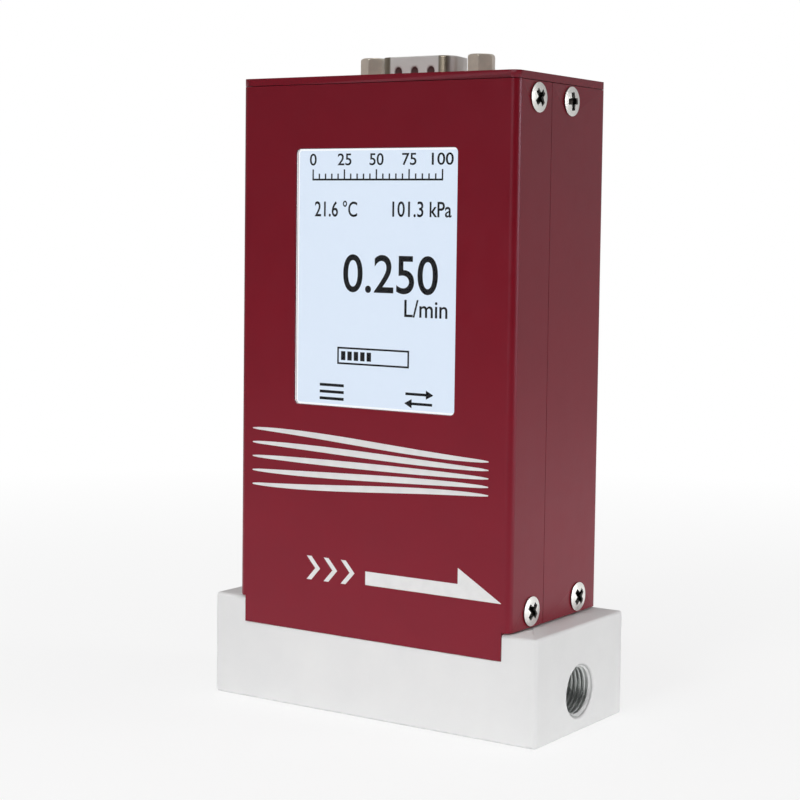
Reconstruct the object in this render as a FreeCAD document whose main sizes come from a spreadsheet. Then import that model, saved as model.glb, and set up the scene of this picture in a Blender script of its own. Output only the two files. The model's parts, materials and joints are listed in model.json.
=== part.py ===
import FreeCAD, Part
import os
import Sketcher

from FreeCAD import Placement, Rotation, Vector

# Laminar mass flow meter, in millimetres.
# X runs along the flow, from inlet to outlet. The display faces -Y. Z is up.
# The origin is the middle of the base block's underside.

SIZES = {
    # base block
    "BlockLength": 74.8,
    "BlockInset": 0.1,
    "BlockHeight": 20.15,
    "BlockEdgeRadius": 0.6,
    # flow path through the block, ends to middle
    "BoreHeight": 7.55,
    "ThreadRadius": 4.865,
    "ThreadDepth": 10.0,
    "PortChamfer": 0.5,
    "FilterRadius": 4.45,
    "FilterThickness": 0.8,
    "ElementBoreRadius": 4.15,
    "ThroatRadius": 3.1,
    "TapMargin": 5.8,
    "TapRadius": 0.8,
    "ShoulderGap": 2.7,
    "ElementStartGap": 3.7,
    # holes in the block's underside and top
    "MountHoleRadius": 1.65,
    "MountHoleDepth": 7.0,
    "MountSpacingX": 54.0,
    "MountSpacingY": 25.0,
    # housing of two folded covers and a top plate
    "HousingWidth": 63.0,
    "HousingDepth": 32.9,
    "HousingTop": 122.1,
    "TopPlateThickness": 1.4,
    "SheetThickness": 1.2,
    "BendRadius": 1.6,
    "PlateGap": 0.12,
    "FlangeGap": 0.3,
    "SeamPlace": 4.3,
    "SeamGap": 0.12,
    "TabEdgeGap": 0.1,
    "TabDepth": 4.9,
    "TabGap": 0.15,
    # display
    "WindowHeight": 49.2,
    "WindowSide": 0.45,
    "WindowDrop": 38.2,
    "WindowCornerRadius": 1.0,
    "GlassGap": 0.1,
    "GlassRecess": 0.15,
    "GlassThickness": 0.7,
    "DisplayBezel": 2.82,
    "DisplaySideGap": 1.25,
    "DisplayHeight": 59.0,
    "DisplayThickness": 2.8,
    "DisplayDrop": 1.6,
    "FoamThickness": 0.5,
    "FoamWidth": 2.2,
    # cover screws, raised countersunk heads
    "ScrewRadius": 1.5,
    "ScrewLength": 6.0,
    "HeadRadius": 2.75,
    "HeadProud": 0.15,
    "HeadDome": 0.5,
    "HeadGap": 0.1,
    "ThreadGap": 0.02,
    "CrossWidth": 1.0,
    "CrossLength": 3.3,
    "CrossDepth": 1.1,
    "UpperScrewDrop": 3.1,
    "UpperScrewFront": 9.2,
    "UpperScrewRear": 2.8,
    "LowerScrewRise": 3.3,
    "LowerScrewOffset": 8.7,
    # rails that the cover screws bite into
    "RailWidth": 6.0,
    "LowerRailHeight": 7.0,
    "LowerRailLength": 25.0,
    "UpperRailHeight": 6.5,
    "RailEndMargin": 3.8,
    "RailScrewLength": 11.0,
    "RailScrewSpacing": 8.0,
    # laminar element
    "ElementGap": 0.05,
    "SlotWidth": 4.4,
    "SlotHeight": 0.3,
    "SlotPitch": 0.6,
    "SealSection": 0.35,
    "SealPlace": 5.0,
    "SealGrooveWidth": 0.9,
    "RingThickness": 1.0,
    "RingGrooveDepth": 0.45,
    "RingWidth": 1.5,
    "RingOpening": 4.0,
    # manifold and sensors on top of the block
    "GasketThickness": 0.5,
    "ManifoldEndGap": 0.8,
    "ManifoldDepth": 17.0,
    "ManifoldHeight": 5.0,
    "ManifoldCornerRadius": 1.6,
    "ChannelWidth": 1.8,
    "ChannelDepth": 1.5,
    "SensorHeight": 6.0,
    "SensorLength": 14.0,
    "SensorDepth": 12.0,
    "SensorPortSpacing": 8.0,
    "NozzleRadius": 1.0,
    "NozzleLength": 1.8,
    "NozzleBore": 0.5,
    "SeatRadius": 1.8,
    "AbsoluteSensorMargin": 10.9,
    "AbsoluteSensorRadius": 4.0,
    "AbsoluteSensorRim": 0.6,
    "AbsoluteSensorFoot": 1.8,
    "SensorGap": 1.6,
    "ProbeMargin": 2.1,
    "ProbeRadius": 0.8,
    "ProbeHeadRadius": 1.6,
    "ProbeHeadHeight": 1.5,
    "ProbeGap": 0.05,
    "StudRadius": 1.25,
    "StudDepth": 4.5,
    "StudEndMargin": 6.0,
    "StudSideMargin": 2.2,
    "StandoffWidth": 4.2,
    # boards
    "BoardThickness": 1.6,
    "CaseEdgeRadius": 0.6,
    "SensorBoardMargin": 2.5,
    "BoardSideGap": 2.3,
    "BoardFootGap": 2.5,
    "BoardHeadGap": 1.6,
    "BoardPostMarginX": 3.0,
    "BoardPostMarginZ": 4.5,
    "BoardPostRadius": 2.4,
    "BoardScrewRadius": 1.25,
    "BoardScrewGap": 0.15,
    "PanHeadRadius": 2.2,
    "PanHeadHeight": 1.5,
    "SensorScrewReach": 3.6,
    "BoardScrewReach": 2.8,
    # flat cable between the boards
    "CableWidth": 12.0,
    "CableThickness": 0.3,
    "CableBend": 3.0,
    "CableInset": 2.0,
    "SocketLength": 15.0,
    "SocketDepth": 3.2,
    "SocketHeight": 4.0,
    "CableRoom": 0.35,
    "CableRise": 12.4,
    # parts on the main board
    "ChipSize": 10.0,
    "ChipHeight": 1.2,
    "ChipPlace": 50.0,
    "PowerLength": 13.0,
    "PowerHeight": 7.0,
    "PowerPlace": 30.0,
    "PowerMargin": 14.0,
    "CapacitorRadius": 3.2,
    "CapacitorHeight": 8.0,
    "CapacitorRim": 0.5,
    # nine-way connector
    "ConnectorPlace": 1.3,
    "ShellFrontWidth": 17.4,
    "ShellRearWidth": 14.2,
    "ShellDepth": 8.9,
    "ShellCornerRadius": 2.4,
    "ShellWall": 0.5,
    "ShellReach": 4.5,
    "ShellGap": 0.3,
    "FlangeMargin": 2.905,
    "FlangeDepth": 12.5,
    "FlangeThickness": 0.6,
    "DimpleRadius": 0.95,
    "DimpleDepth": 0.3,
    "DimpleSpacing": 3.77,
    "DimpleMargin": 1.95,
    "PinRadius": 0.5,
    "PinPitch": 2.77,
    "PinRowSpacing": 2.84,
    "PinInset": 0.8,
    "CavityDepth": 5.8,
    "PinGap": 0.02,
    "InsulatorWidth": 19.2,
    "InsulatorDepth": 10.5,
    "InsulatorDrop": 6.0,
    "JackSpacing": 24.99,
    "JackAcrossFlats": 4.76,
    "JackHeight": 4.75,
    "JackBoreRadius": 1.2,
    "JackBoreDepth": 4.0,
    "JackStudRadius": 1.42,
    "JackStudLength": 6.0,
    "JackHoleRadius": 1.6,
    "NutAcrossFlats": 5.0,
    "NutHeight": 2.4,
    "ConnectorBoardGap": 2.5,
    "ConnectorBoardWidth": 30.0,
    "ConnectorBoardDepth": 13.0,
    "HeaderWidth": 20.0,
    "HeaderHeight": 2.5,
}

# How far a cut runs past the surface that it opens.
OVERSHOOT = 1.0
# Slots in the laminar element.
SLOTS = 8
# A regular octagon's half side, for a half width of 1.
OCTAGON_HALF_SIDE_RATIO = 0.41421356
# A regular hexagon's half side and its corner's distance, for a half width of 1.
HEXAGON_HALF_SIDE_RATIO = 0.57735027
HEXAGON_CORNER_RATIO = 1.1547005
# Turns of the cover screws about their own axes, upper and lower, and how far the left ones differ.
FRONT_SCREW_TURNS = (40, 50)
REAR_SCREW_TURNS = (5, 42)
LEFT_SCREW_TURN = 20
# Turns of the left and the right screw lock.
LOCK_TURNS = (38, 50)

doc = FreeCAD.newDocument("LaminarMassFlowMeter")
sheet = doc.addObject("Spreadsheet::Sheet", "Sizes")
for row, (alias, number) in enumerate(SIZES.items(), 1):
    sheet.set(f"A{row}", alias)
    sheet.set(f"B{row}", str(number))
    sheet.setAlias(f"B{row}", alias)
doc.recompute()


class Size:
    """A number that keeps the formula it came from, so that a property can be bound to it."""

    def __init__(self, number, formula):
        self.number = number
        self.formula = formula

    def __add__(self, other):
        other = as_size(other)
        return Size(self.number + other.number, f"({self.formula} + {other.formula})")

    def __sub__(self, other):
        other = as_size(other)
        return Size(self.number - other.number, f"({self.formula} - {other.formula})")

    def __mul__(self, factor):
        return Size(self.number * factor, f"({self.formula} * {factor})")

    def __truediv__(self, factor):
        return Size(self.number / factor, f"({self.formula} / {factor})")

    def __neg__(self):
        return Size(-self.number, f"(-{self.formula})")

    __rmul__ = __mul__


def as_size(value):
    if isinstance(value, Size):
        return value
    return Size(float(value), str(float(value)))


def size(alias):
    return Size(float(sheet.get(alias)), f"Sizes.{alias}")


ZERO = as_size(0)


def bind(thing, path, value):
    thing.setExpression(path, as_size(value).formula)


# Sketches, drawn on a body's own origin planes

def new_body(label):
    body = doc.addObject("PartDesign::Body", label)
    body.Label = label
    return body


def origin_plane(body, role):
    return [part for part in body.Origin.OriginFeatures if part.Role == role][0]


def sketch_on(body, name, role, lift=ZERO, across=ZERO, up=ZERO):
    """Empty sketch, lifted along the plane's normal and shifted in the plane."""
    drawing = body.newObject("Sketcher::SketchObject", f"{body.Name}_{name}")
    drawing.AttachmentSupport = (origin_plane(body, role), [""])
    drawing.MapMode = "FlatFace"
    lift, across, up = as_size(lift), as_size(across), as_size(up)
    drawing.AttachmentOffset = Placement(Vector(across.number, up.number, lift.number), Rotation())
    bind(drawing, "AttachmentOffset.Base.x", across)
    bind(drawing, "AttachmentOffset.Base.y", up)
    bind(drawing, "AttachmentOffset.Base.z", lift)
    return drawing


def fix_point(drawing, geometry, position, x, y):
    for kind, value in (("DistanceX", as_size(x)), ("DistanceY", as_size(y))):
        rule = Sketcher.Constraint(kind, -1, 1, geometry, position, value.number)
        index = drawing.addConstraint(rule)
        bind(drawing, f"Constraints[{index}]", value)


def draw_outline(drawing, corners):
    """Closed outline of straight lines through the corners, each corner fixed by its two sizes."""
    first = drawing.GeometryCount
    corners = [(as_size(x), as_size(y)) for x, y in corners]
    count = len(corners)
    for index in range(count):
        x0, y0 = corners[index]
        x1, y1 = corners[(index + 1) % count]
        line = Part.LineSegment(Vector(x0.number, y0.number, 0), Vector(x1.number, y1.number, 0))
        drawing.addGeometry(line, False)
    for index in range(count):
        after = first + (index + 1) % count
        drawing.addConstraint(Sketcher.Constraint("Coincident", first + index, 2, after, 1))
    for index, (x, y) in enumerate(corners):
        fix_point(drawing, first + index, 1, x, y)


def draw_rectangle(drawing, low_x, low_y, high_x, high_y):
    draw_outline(drawing, [(low_x, low_y), (high_x, low_y), (high_x, high_y), (low_x, high_y)])


def draw_centred(drawing, width, height, x=ZERO, y=ZERO):
    half_width, half_height = width / 2, height / 2
    draw_rectangle(drawing, x - half_width, y - half_height, x + half_width, y + half_height)


def draw_circle(drawing, x, y, radius):
    x, y = as_size(x), as_size(y)
    circle = Part.Circle(Vector(x.number, y.number, 0), Vector(0, 0, 1), radius.number)
    geometry = drawing.addGeometry(circle, False)
    index = drawing.addConstraint(Sketcher.Constraint("Radius", geometry, radius.number))
    bind(drawing, f"Constraints[{index}]", radius)
    fix_point(drawing, geometry, 3, x, y)


def corners_of(spacing_x, spacing_y):
    """The four centres of a rectangular hole pattern about the middle."""
    half_x, half_y = spacing_x / 2, spacing_y / 2
    return [(half_x * i, half_y * j) for i in (-1, 1) for j in (-1, 1)]


# Features

def pad(body, drawing, length, reverse=False):
    feature = body.newObject("PartDesign::Pad", f"{drawing.Name}_pad")
    feature.Profile = drawing
    feature.Reversed = reverse
    bind(feature, "Length", length)
    doc.recompute()
    return feature


def check_cut(body, feature, before):
    doc.recompute()
    if not body.Shape.Volume < before:
        raise RuntimeError(f"{feature.Name} removes nothing")
    return feature


def pocket(body, drawing, length=None, reverse=False):
    """Cut against the plane's normal, or along it when reversed; right through with no length."""
    doc.recompute()
    before = body.Shape.Volume
    feature = body.newObject("PartDesign::Pocket", f"{drawing.Name}_cut")
    feature.Profile = drawing
    feature.Reversed = reverse
    if length is None:
        feature.Type = "ThroughAll"
    else:
        bind(feature, "Length", length)
    return check_cut(body, feature, before)


def turn(body, drawing, axis):
    feature = body.newObject("PartDesign::Revolution", f"{drawing.Name}_turned")
    feature.Profile = drawing
    feature.ReferenceAxis = (drawing, [axis])
    feature.Angle = 360
    doc.recompute()
    return feature


def turned_cut(body, drawing, axis):
    doc.recompute()
    before = body.Shape.Volume
    feature = body.newObject("PartDesign::Groove", f"{drawing.Name}_bored")
    feature.Profile = drawing
    feature.ReferenceAxis = (drawing, [axis])
    feature.Angle = 360
    return check_cut(body, feature, before)


def mirrored(body, features, role):
    pattern = body.newObject("PartDesign::Mirrored", f"{features[-1].Name}_mirrored")
    pattern.Originals = features
    pattern.MirrorPlane = (origin_plane(body, role), [""])
    body.Tip = pattern
    doc.recompute()


def edge_names(base, wanted):
    edges = base.Shape.Edges
    return [f"Edge{index}" for index, edge in enumerate(edges, 1) if wanted(edge)]


def dress(body, kind, name, radius, wanted):
    """Fillet or chamfer on the edges that the test picks."""
    base = body.Tip
    names = edge_names(base, wanted)
    if not names:
        raise RuntimeError(f"{body.Name}: no edge for {name}")
    feature = body.newObject(f"PartDesign::{kind}", f"{body.Name}_{name}")
    feature.Base = (base, names)
    bind(feature, "Radius" if kind == "Fillet" else "Size", radius)
    body.Tip = feature
    doc.recompute()
    return feature


def countersink(body, drawing, radius, mouth_radius, depth):
    """Plain holes with a right-angled countersink, one at each circle of the sketch."""
    doc.recompute()
    before = body.Shape.Volume
    hole = body.newObject("PartDesign::Hole", f"{drawing.Name}_sunk")
    hole.Profile = drawing
    hole.ThreadType = "None"
    hole.HoleCutType = "Countersink"
    hole.HoleCutCountersinkAngle = 90
    hole.DepthType = "Dimension"
    hole.DrillPoint = "Flat"
    bind(hole, "Diameter", radius * 2)
    bind(hole, "HoleCutDiameter", mouth_radius * 2)
    bind(hole, "Depth", depth)
    return check_cut(body, hole, before)


def is_straight(edge, direction):
    if not isinstance(edge.Curve, Part.Line):
        return False
    return abs(abs(edge.Curve.Direction.dot(direction)) - 1) < 1e-6


def near(first, second):
    return abs(first - as_size(second).number) < 1e-4


# Places shared by several pieces

HALF_BLOCK = size("BlockLength") / 2
HALF_HOUSING = size("HousingWidth") / 2
HALF_DEPTH = size("HousingDepth") / 2
BLOCK_DEPTH = size("HousingDepth") - size("BlockInset") * 2
SHEET = size("SheetThickness")
INSIDE_SIDE = HALF_HOUSING - SHEET
INSIDE_FRONT = HALF_DEPTH - SHEET
BLOCK_TOP = size("BlockHeight")
FLANGE_BOTTOM = BLOCK_TOP + size("FlangeGap")
PLATE_BOTTOM = size("HousingTop") - size("TopPlateThickness")
COVER_TOP = PLATE_BOTTOM - size("PlateGap")
TAB_BOTTOM = BLOCK_TOP - size("TabDepth")
HALF_TAB = HALF_HOUSING - size("BendRadius") - size("TabEdgeGap")
TAPPED_RADIUS = size("ScrewRadius") + size("ThreadGap")
UPPER_SCREW = PLATE_BOTTOM - size("UpperScrewDrop")
LOWER_SCREW = BLOCK_TOP + size("LowerScrewRise")
RAIL_INNER = INSIDE_SIDE - size("RailWidth")

MANIFOLD_LENGTH = (RAIL_INNER - size("ManifoldEndGap")) * 2
MANIFOLD_BOTTOM = BLOCK_TOP + size("GasketThickness")
MANIFOLD_TOP = MANIFOLD_BOTTOM + size("ManifoldHeight")
SENSOR_BOARD_BOTTOM = MANIFOLD_TOP + size("SensorHeight")
SENSOR_BOARD_TOP = SENSOR_BOARD_BOTTOM + size("BoardThickness")
STUD_SPACING_X = MANIFOLD_LENGTH - size("StudEndMargin") * 2
STUD_SPACING_Y = size("ManifoldDepth") - size("StudSideMargin") * 2
STUD_HOLE = size("StudRadius") + size("ThreadGap")
SEAL_LEVEL = MANIFOLD_TOP - size("NozzleLength") / 2
ABSOLUTE_SENSOR = -(MANIFOLD_LENGTH / 2 - size("AbsoluteSensorMargin"))
SENSOR_SPACING = size("AbsoluteSensorRadius") + size("SensorGap") + size("SensorLength") / 2
DIFFERENTIAL_SENSOR = ABSOLUTE_SENSOR + SENSOR_SPACING
DIFFERENTIAL_PORTS = [DIFFERENTIAL_SENSOR + size("SensorPortSpacing") / 2 * side for side in (-1, 1)]
TAP = MANIFOLD_LENGTH / 2 - size("TapMargin")
PROBE = MANIFOLD_LENGTH / 2 - size("ProbeMargin")
PROBE_HOLE = size("ProbeRadius") + size("ProbeGap")

THREAD_END = HALF_BLOCK - size("ThreadDepth")
FILTER_END = THREAD_END - size("FilterThickness")
SHOULDER = TAP - size("ShoulderGap")
ELEMENT_START = -(TAP - size("ElementStartGap"))
ELEMENT_LENGTH = SHOULDER - ELEMENT_START
RING_END = ELEMENT_START - size("RingThickness")
RING_GROOVE_RADIUS = size("ElementBoreRadius") + size("RingGrooveDepth")

DISPLAY_FRONT = -(INSIDE_FRONT - size("FoamThickness"))
BOARD_FRONT = DISPLAY_FRONT + size("DisplayThickness")
BOARD_BACK = BOARD_FRONT + size("BoardThickness")
SENSOR_SOCKET = BOARD_BACK + size("SocketHeight") + size("CableBend") + size("CableRoom")
BOARD_HALF = INSIDE_SIDE - size("BoardSideGap")
BOARD_BOTTOM = BLOCK_TOP + size("LowerRailHeight") + size("BoardFootGap")
BOARD_TOP = PLATE_BOTTOM - size("UpperRailHeight") - size("BoardHeadGap")
BOARD_CENTRE = (BOARD_BOTTOM + BOARD_TOP) / 2
POWER_PLACE = BOARD_HALF - size("PowerMargin")
POST_SPACING_X = (BOARD_HALF - size("BoardPostMarginX")) * 2
POST_SPACING_Z = BOARD_TOP - BOARD_BOTTOM - size("BoardPostMarginZ") * 2
DISPLAY_WIDTH = POST_SPACING_X - (size("BoardPostRadius") + size("DisplaySideGap")) * 2
WINDOW_WIDTH = DISPLAY_WIDTH - size("DisplayBezel") * 2
WINDOW_SIDE = size("WindowSide")
WINDOW_CENTRE = size("HousingTop") - size("WindowDrop")
DISPLAY_CENTRE = WINDOW_CENTRE - size("DisplayDrop")
GLASS_FRONT = HALF_DEPTH - size("GlassRecess")
MAIN_SOCKET = SENSOR_BOARD_TOP + size("CableRise")

CONNECTOR = size("ConnectorPlace")
FLANGE_WIDTH = size("JackSpacing") + size("FlangeMargin") * 2
FLANGE_TOP = PLATE_BOTTOM
FLANGE_UNDER = FLANGE_TOP - size("FlangeThickness")
SHELL_TOP = size("HousingTop") + size("ShellReach")
INSULATOR_TOP = SHELL_TOP - size("CavityDepth")
INSULATOR_BOTTOM = FLANGE_UNDER - size("InsulatorDrop")
CONNECTOR_BOARD_TOP = INSULATOR_BOTTOM - size("ConnectorBoardGap")
CONNECTOR_BOARD_BOTTOM = CONNECTOR_BOARD_TOP - size("BoardThickness")
CONNECTOR_BOARD_FRONT = CONNECTOR - size("ConnectorBoardDepth") / 2
PIN_HOLE = size("PinRadius") + size("PinGap")


# Base block

def flow_body():
    body = new_body("flow_body")
    footprint = sketch_on(body, "footprint", "XY_Plane")
    draw_centred(footprint, size("BlockLength"), BLOCK_DEPTH)
    pad(body, footprint, BLOCK_TOP)
    dress(body, "Fillet", "softened_edges", size("BlockEdgeRadius"), lambda edge: True)

    # shallow recesses that the covers' tabs lie in
    recess = sketch_on(body, "tab_recess", "XY_Plane", TAB_BOTTOM - size("TabGap"))
    half_tab = HALF_TAB + size("TabGap")
    past = HALF_DEPTH + OVERSHOOT
    draw_rectangle(recess, -half_tab, -past, half_tab, -INSIDE_FRONT)
    draw_rectangle(recess, -half_tab, INSIDE_FRONT, half_tab, past)
    pocket(body, recess, BLOCK_TOP, reverse=True)

    # one stepped bore from port to port, drawn as the half section above its axis
    bore = sketch_on(body, "flow_bore", "XZ_Plane", up=size("BoreHeight"))
    thread, seat = size("ThreadRadius"), size("FilterRadius") + size("ThreadGap")
    wide, throat = size("ElementBoreRadius"), size("ThroatRadius")
    chamfer = size("PortChamfer")
    draw_outline(bore, [
        (-HALF_BLOCK, 0),
        (-HALF_BLOCK, thread + chamfer),
        (-HALF_BLOCK + chamfer, thread),
        (-THREAD_END, thread),
        (-THREAD_END, seat),
        (-FILTER_END, seat),
        (-FILTER_END, wide),
        (RING_END, wide),
        (RING_END, RING_GROOVE_RADIUS),
        (ELEMENT_START, RING_GROOVE_RADIUS),
        (ELEMENT_START, wide),
        (SHOULDER, wide),
        (SHOULDER, throat),
        (FILTER_END, throat),
        (FILTER_END, seat),
        (THREAD_END, seat),
        (THREAD_END, thread),
        (HALF_BLOCK - chamfer, thread),
        (HALF_BLOCK, thread + chamfer),
        (HALF_BLOCK, 0),
    ])
    turned_cut(body, bore, "H_Axis")

    # pressure taps either side of the element, and the temperature probe's hole
    taps = sketch_on(body, "taps", "XY_Plane", BLOCK_TOP)
    draw_circle(taps, -TAP, 0, size("TapRadius"))
    draw_circle(taps, TAP, 0, size("TapRadius"))
    draw_circle(taps, -PROBE, 0, PROBE_HOLE)
    pocket(body, taps, BLOCK_TOP - size("BoreHeight"))

    # tapped holes in the top for the manifold's studs and the rails' screws
    studs = sketch_on(body, "stud_holes", "XY_Plane", BLOCK_TOP)
    for x, y in corners_of(STUD_SPACING_X, STUD_SPACING_Y):
        draw_circle(studs, x, y, STUD_HOLE)
    pocket(body, studs, size("StudDepth") + OVERSHOOT)
    rails = sketch_on(body, "rail_holes", "XY_Plane", BLOCK_TOP)
    for x, y in rail_screw_places():
        draw_circle(rails, x, y, TAPPED_RADIUS)
    pocket(body, rails, size("RailScrewLength") - size("LowerRailHeight") + OVERSHOOT)

    # tapped mounting holes in the underside
    mounting = sketch_on(body, "mounting_holes", "XY_Plane")
    for x, y in corners_of(size("MountSpacingX"), size("MountSpacingY")):
        draw_circle(mounting, x, y, size("MountHoleRadius"))
    pocket(body, mounting, size("MountHoleDepth"), reverse=True)
    return body


def rail_screw_places():
    return corners_of(RAIL_INNER + INSIDE_SIDE, size("RailScrewSpacing"))


# Flow path

def laminar_flow_element():
    """Turned core with a stack of thin parallel slots and one seal groove."""
    body = new_body("laminar_flow_element")
    profile = sketch_on(body, "section", "XZ_Plane")
    radius = size("ElementBoreRadius") - size("ElementGap")
    floor = size("ElementBoreRadius") - size("SealSection") * 2
    groove_start = size("SealPlace")
    groove_end = groove_start + size("SealGrooveWidth")
    draw_outline(profile, [
        (0, 0),
        (0, radius),
        (groove_start, radius),
        (groove_start, floor),
        (groove_end, floor),
        (groove_end, radius),
        (ELEMENT_LENGTH, radius),
        (ELEMENT_LENGTH, 0),
    ])
    turn(body, profile, "H_Axis")
    lowest = sketch_on(body, "lowest_slot", "YZ_Plane")
    stack_height = size("SlotPitch") * (SLOTS - 1)
    draw_centred(lowest, size("SlotWidth"), size("SlotHeight"), ZERO, -stack_height / 2)
    slot = pocket(body, lowest, ELEMENT_LENGTH + OVERSHOOT, reverse=True)
    stack = body.newObject("PartDesign::LinearPattern", "slot_stack")
    stack.Originals = [slot]
    stack.Direction = (lowest, ["V_Axis"])
    stack.Occurrences = SLOTS
    bind(stack, "Length", stack_height)
    body.Tip = stack
    doc.recompute()
    place(body, ELEMENT_START, 0, size("BoreHeight"))
    return body


def seal_ring(label, radius, section):
    """Round seal about Z whose section has eight flats."""
    body = new_body(label)
    profile = sketch_on(body, "section", "XZ_Plane")
    near_edge, far_edge = section * OCTAGON_HALF_SIDE_RATIO, section
    draw_outline(profile, [
        (radius + across, up)
        for across, up in (
            (far_edge, near_edge), (near_edge, far_edge), (-near_edge, far_edge), (-far_edge, near_edge),
            (-far_edge, -near_edge), (-near_edge, -far_edge), (near_edge, -far_edge), (far_edge, -near_edge),
        )
    ])
    turn(body, profile, "V_Axis")
    return body


def element_seal():
    section = size("SealSection") - size("ThreadGap") / 2
    ring = seal_ring("element_seal", size("ElementBoreRadius") - size("SealSection"), section)
    middle = ELEMENT_START + size("SealPlace") + size("SealGrooveWidth") / 2
    place(ring, middle, 0, size("BoreHeight"), Rotation(Vector(0, 1, 0), 90))
    return ring


def element_retaining_ring():
    """Open snap ring in the bore's groove; its gap faces down."""
    body = new_body("element_retaining_ring")
    drawing = sketch_on(body, "ring", "YZ_Plane")
    outer = RING_GROOVE_RADIUS - size("ElementGap")
    draw_circle(drawing, 0, 0, outer)
    draw_circle(drawing, 0, 0, outer - size("RingWidth"))
    pad(body, drawing, size("RingThickness"))
    gap = sketch_on(body, "gap", "YZ_Plane")
    half = size("RingOpening") / 2
    draw_rectangle(gap, -half, -RING_GROOVE_RADIUS, half, 0)
    pocket(body, gap, size("RingThickness"), reverse=True)
    place(body, RING_END, 0, size("BoreHeight"))
    return body


def port_filter(label, start):
    """Sintered disc at the bottom of a port."""
    body = new_body(label)
    drawing = sketch_on(body, "disc", "YZ_Plane")
    draw_circle(drawing, 0, 0, size("FilterRadius"))
    pad(body, drawing, size("FilterThickness"))
    place(body, start, 0, size("BoreHeight"))
    return body


# Manifold and sensors

def manifold_gasket():
    body = new_body("manifold_gasket")
    drawing = sketch_on(body, "sheet", "XY_Plane", BLOCK_TOP)
    draw_centred(drawing, MANIFOLD_LENGTH, size("ManifoldDepth"))
    for side in (-1, 1):
        draw_circle(drawing, TAP * side, 0, size("TapRadius"))
    draw_circle(drawing, -PROBE, 0, PROBE_HOLE)
    for x, y in corners_of(STUD_SPACING_X, STUD_SPACING_Y):
        draw_circle(drawing, x, y, STUD_HOLE)
    pad(body, drawing, size("GasketThickness"))
    return body


def sensor_ports():
    """Places along X where a sensor's nozzle enters the manifold."""
    return [ABSOLUTE_SENSOR, *DIFFERENTIAL_PORTS]


def sensor_manifold():
    """Plate whose underside channels lead the two taps to the sensors' seats."""
    body = new_body("sensor_manifold")
    plate = sketch_on(body, "plate", "XY_Plane", MANIFOLD_BOTTOM)
    draw_centred(plate, MANIFOLD_LENGTH, size("ManifoldDepth"))
    pad(body, plate, size("ManifoldHeight"))
    upright = Vector(0, 0, 1)
    corner = size("ManifoldCornerRadius")
    dress(body, "Fillet", "corners", corner, lambda edge: is_straight(edge, upright))

    channels = sketch_on(body, "channels", "XY_Plane", MANIFOLD_BOTTOM)
    half_width = size("ChannelWidth") / 2
    reach = TAP + half_width
    upstream, downstream = DIFFERENTIAL_PORTS
    draw_rectangle(channels, -reach, -half_width, upstream + half_width, half_width)
    draw_rectangle(channels, downstream - half_width, -half_width, reach, half_width)
    pocket(body, channels, size("ChannelDepth"), reverse=True)

    ports = sketch_on(body, "ports", "XY_Plane", MANIFOLD_TOP)
    for x in sensor_ports():
        draw_circle(ports, x, 0, size("TapRadius"))
    pocket(body, ports, size("ManifoldHeight") - size("ChannelDepth") / 2)
    seats = sketch_on(body, "seats", "XY_Plane", MANIFOLD_TOP)
    for x in sensor_ports():
        draw_circle(seats, x, 0, size("SeatRadius"))
    pocket(body, seats, size("NozzleLength"))

    through = sketch_on(body, "stud_holes", "XY_Plane", MANIFOLD_TOP)
    for x, y in corners_of(STUD_SPACING_X, STUD_SPACING_Y):
        draw_circle(through, x, y, STUD_HOLE)
    draw_circle(through, -PROBE, 0, PROBE_HOLE)
    pocket(body, through, size("ManifoldHeight") + OVERSHOOT)
    return body


def add_nozzle(body, x):
    """Short tube under a sensor that ends at the bottom of its seat."""
    tube = sketch_on(body, f"nozzle_{len(body.Group)}", "XY_Plane", MANIFOLD_TOP)
    draw_circle(tube, x, 0, size("NozzleRadius"))
    pad(body, tube, size("NozzleLength"), reverse=True)
    bore = sketch_on(body, f"nozzle_bore_{len(body.Group)}", "XY_Plane", MANIFOLD_TOP)
    draw_circle(bore, x, 0, size("NozzleBore"))
    pocket(body, bore, size("NozzleLength"))


def differential_pressure_sensor():
    body = new_body("differential_pressure_sensor")
    case = sketch_on(body, "case", "XY_Plane", MANIFOLD_TOP)
    draw_centred(case, size("SensorLength"), size("SensorDepth"), DIFFERENTIAL_SENSOR)
    pad(body, case, size("SensorHeight"))
    upright = Vector(0, 0, 1)
    dress(body, "Chamfer", "corners", size("CaseEdgeRadius"), lambda edge: is_straight(edge, upright))
    for x in DIFFERENTIAL_PORTS:
        add_nozzle(body, x)
    return body


def absolute_pressure_sensor():
    body = new_body("absolute_pressure_sensor")
    case = sketch_on(body, "case", "XZ_Plane", across=ABSOLUTE_SENSOR)
    outer = size("AbsoluteSensorRadius")
    inner = outer - size("AbsoluteSensorRim")
    foot = MANIFOLD_TOP + size("AbsoluteSensorFoot")
    draw_outline(case, [
        (0, MANIFOLD_TOP),
        (outer, MANIFOLD_TOP),
        (outer, foot),
        (inner, foot),
        (inner, SENSOR_BOARD_BOTTOM),
        (0, SENSOR_BOARD_BOTTOM),
    ])
    turn(body, case, "V_Axis")
    add_nozzle(body, ABSOLUTE_SENSOR)
    return body


def nozzle_seal(label):
    """Seal for the space between a nozzle and its seat."""
    space = size("SeatRadius") - size("NozzleRadius")
    section = (space - size("ThreadGap")) / 2
    radius = (size("SeatRadius") + size("NozzleRadius")) / 2
    return seal_ring(label, radius, section)


def absolute_sensor_seal():
    ring = nozzle_seal("absolute_sensor_seal")
    place(ring, ABSOLUTE_SENSOR, 0, SEAL_LEVEL)
    return ring


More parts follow.
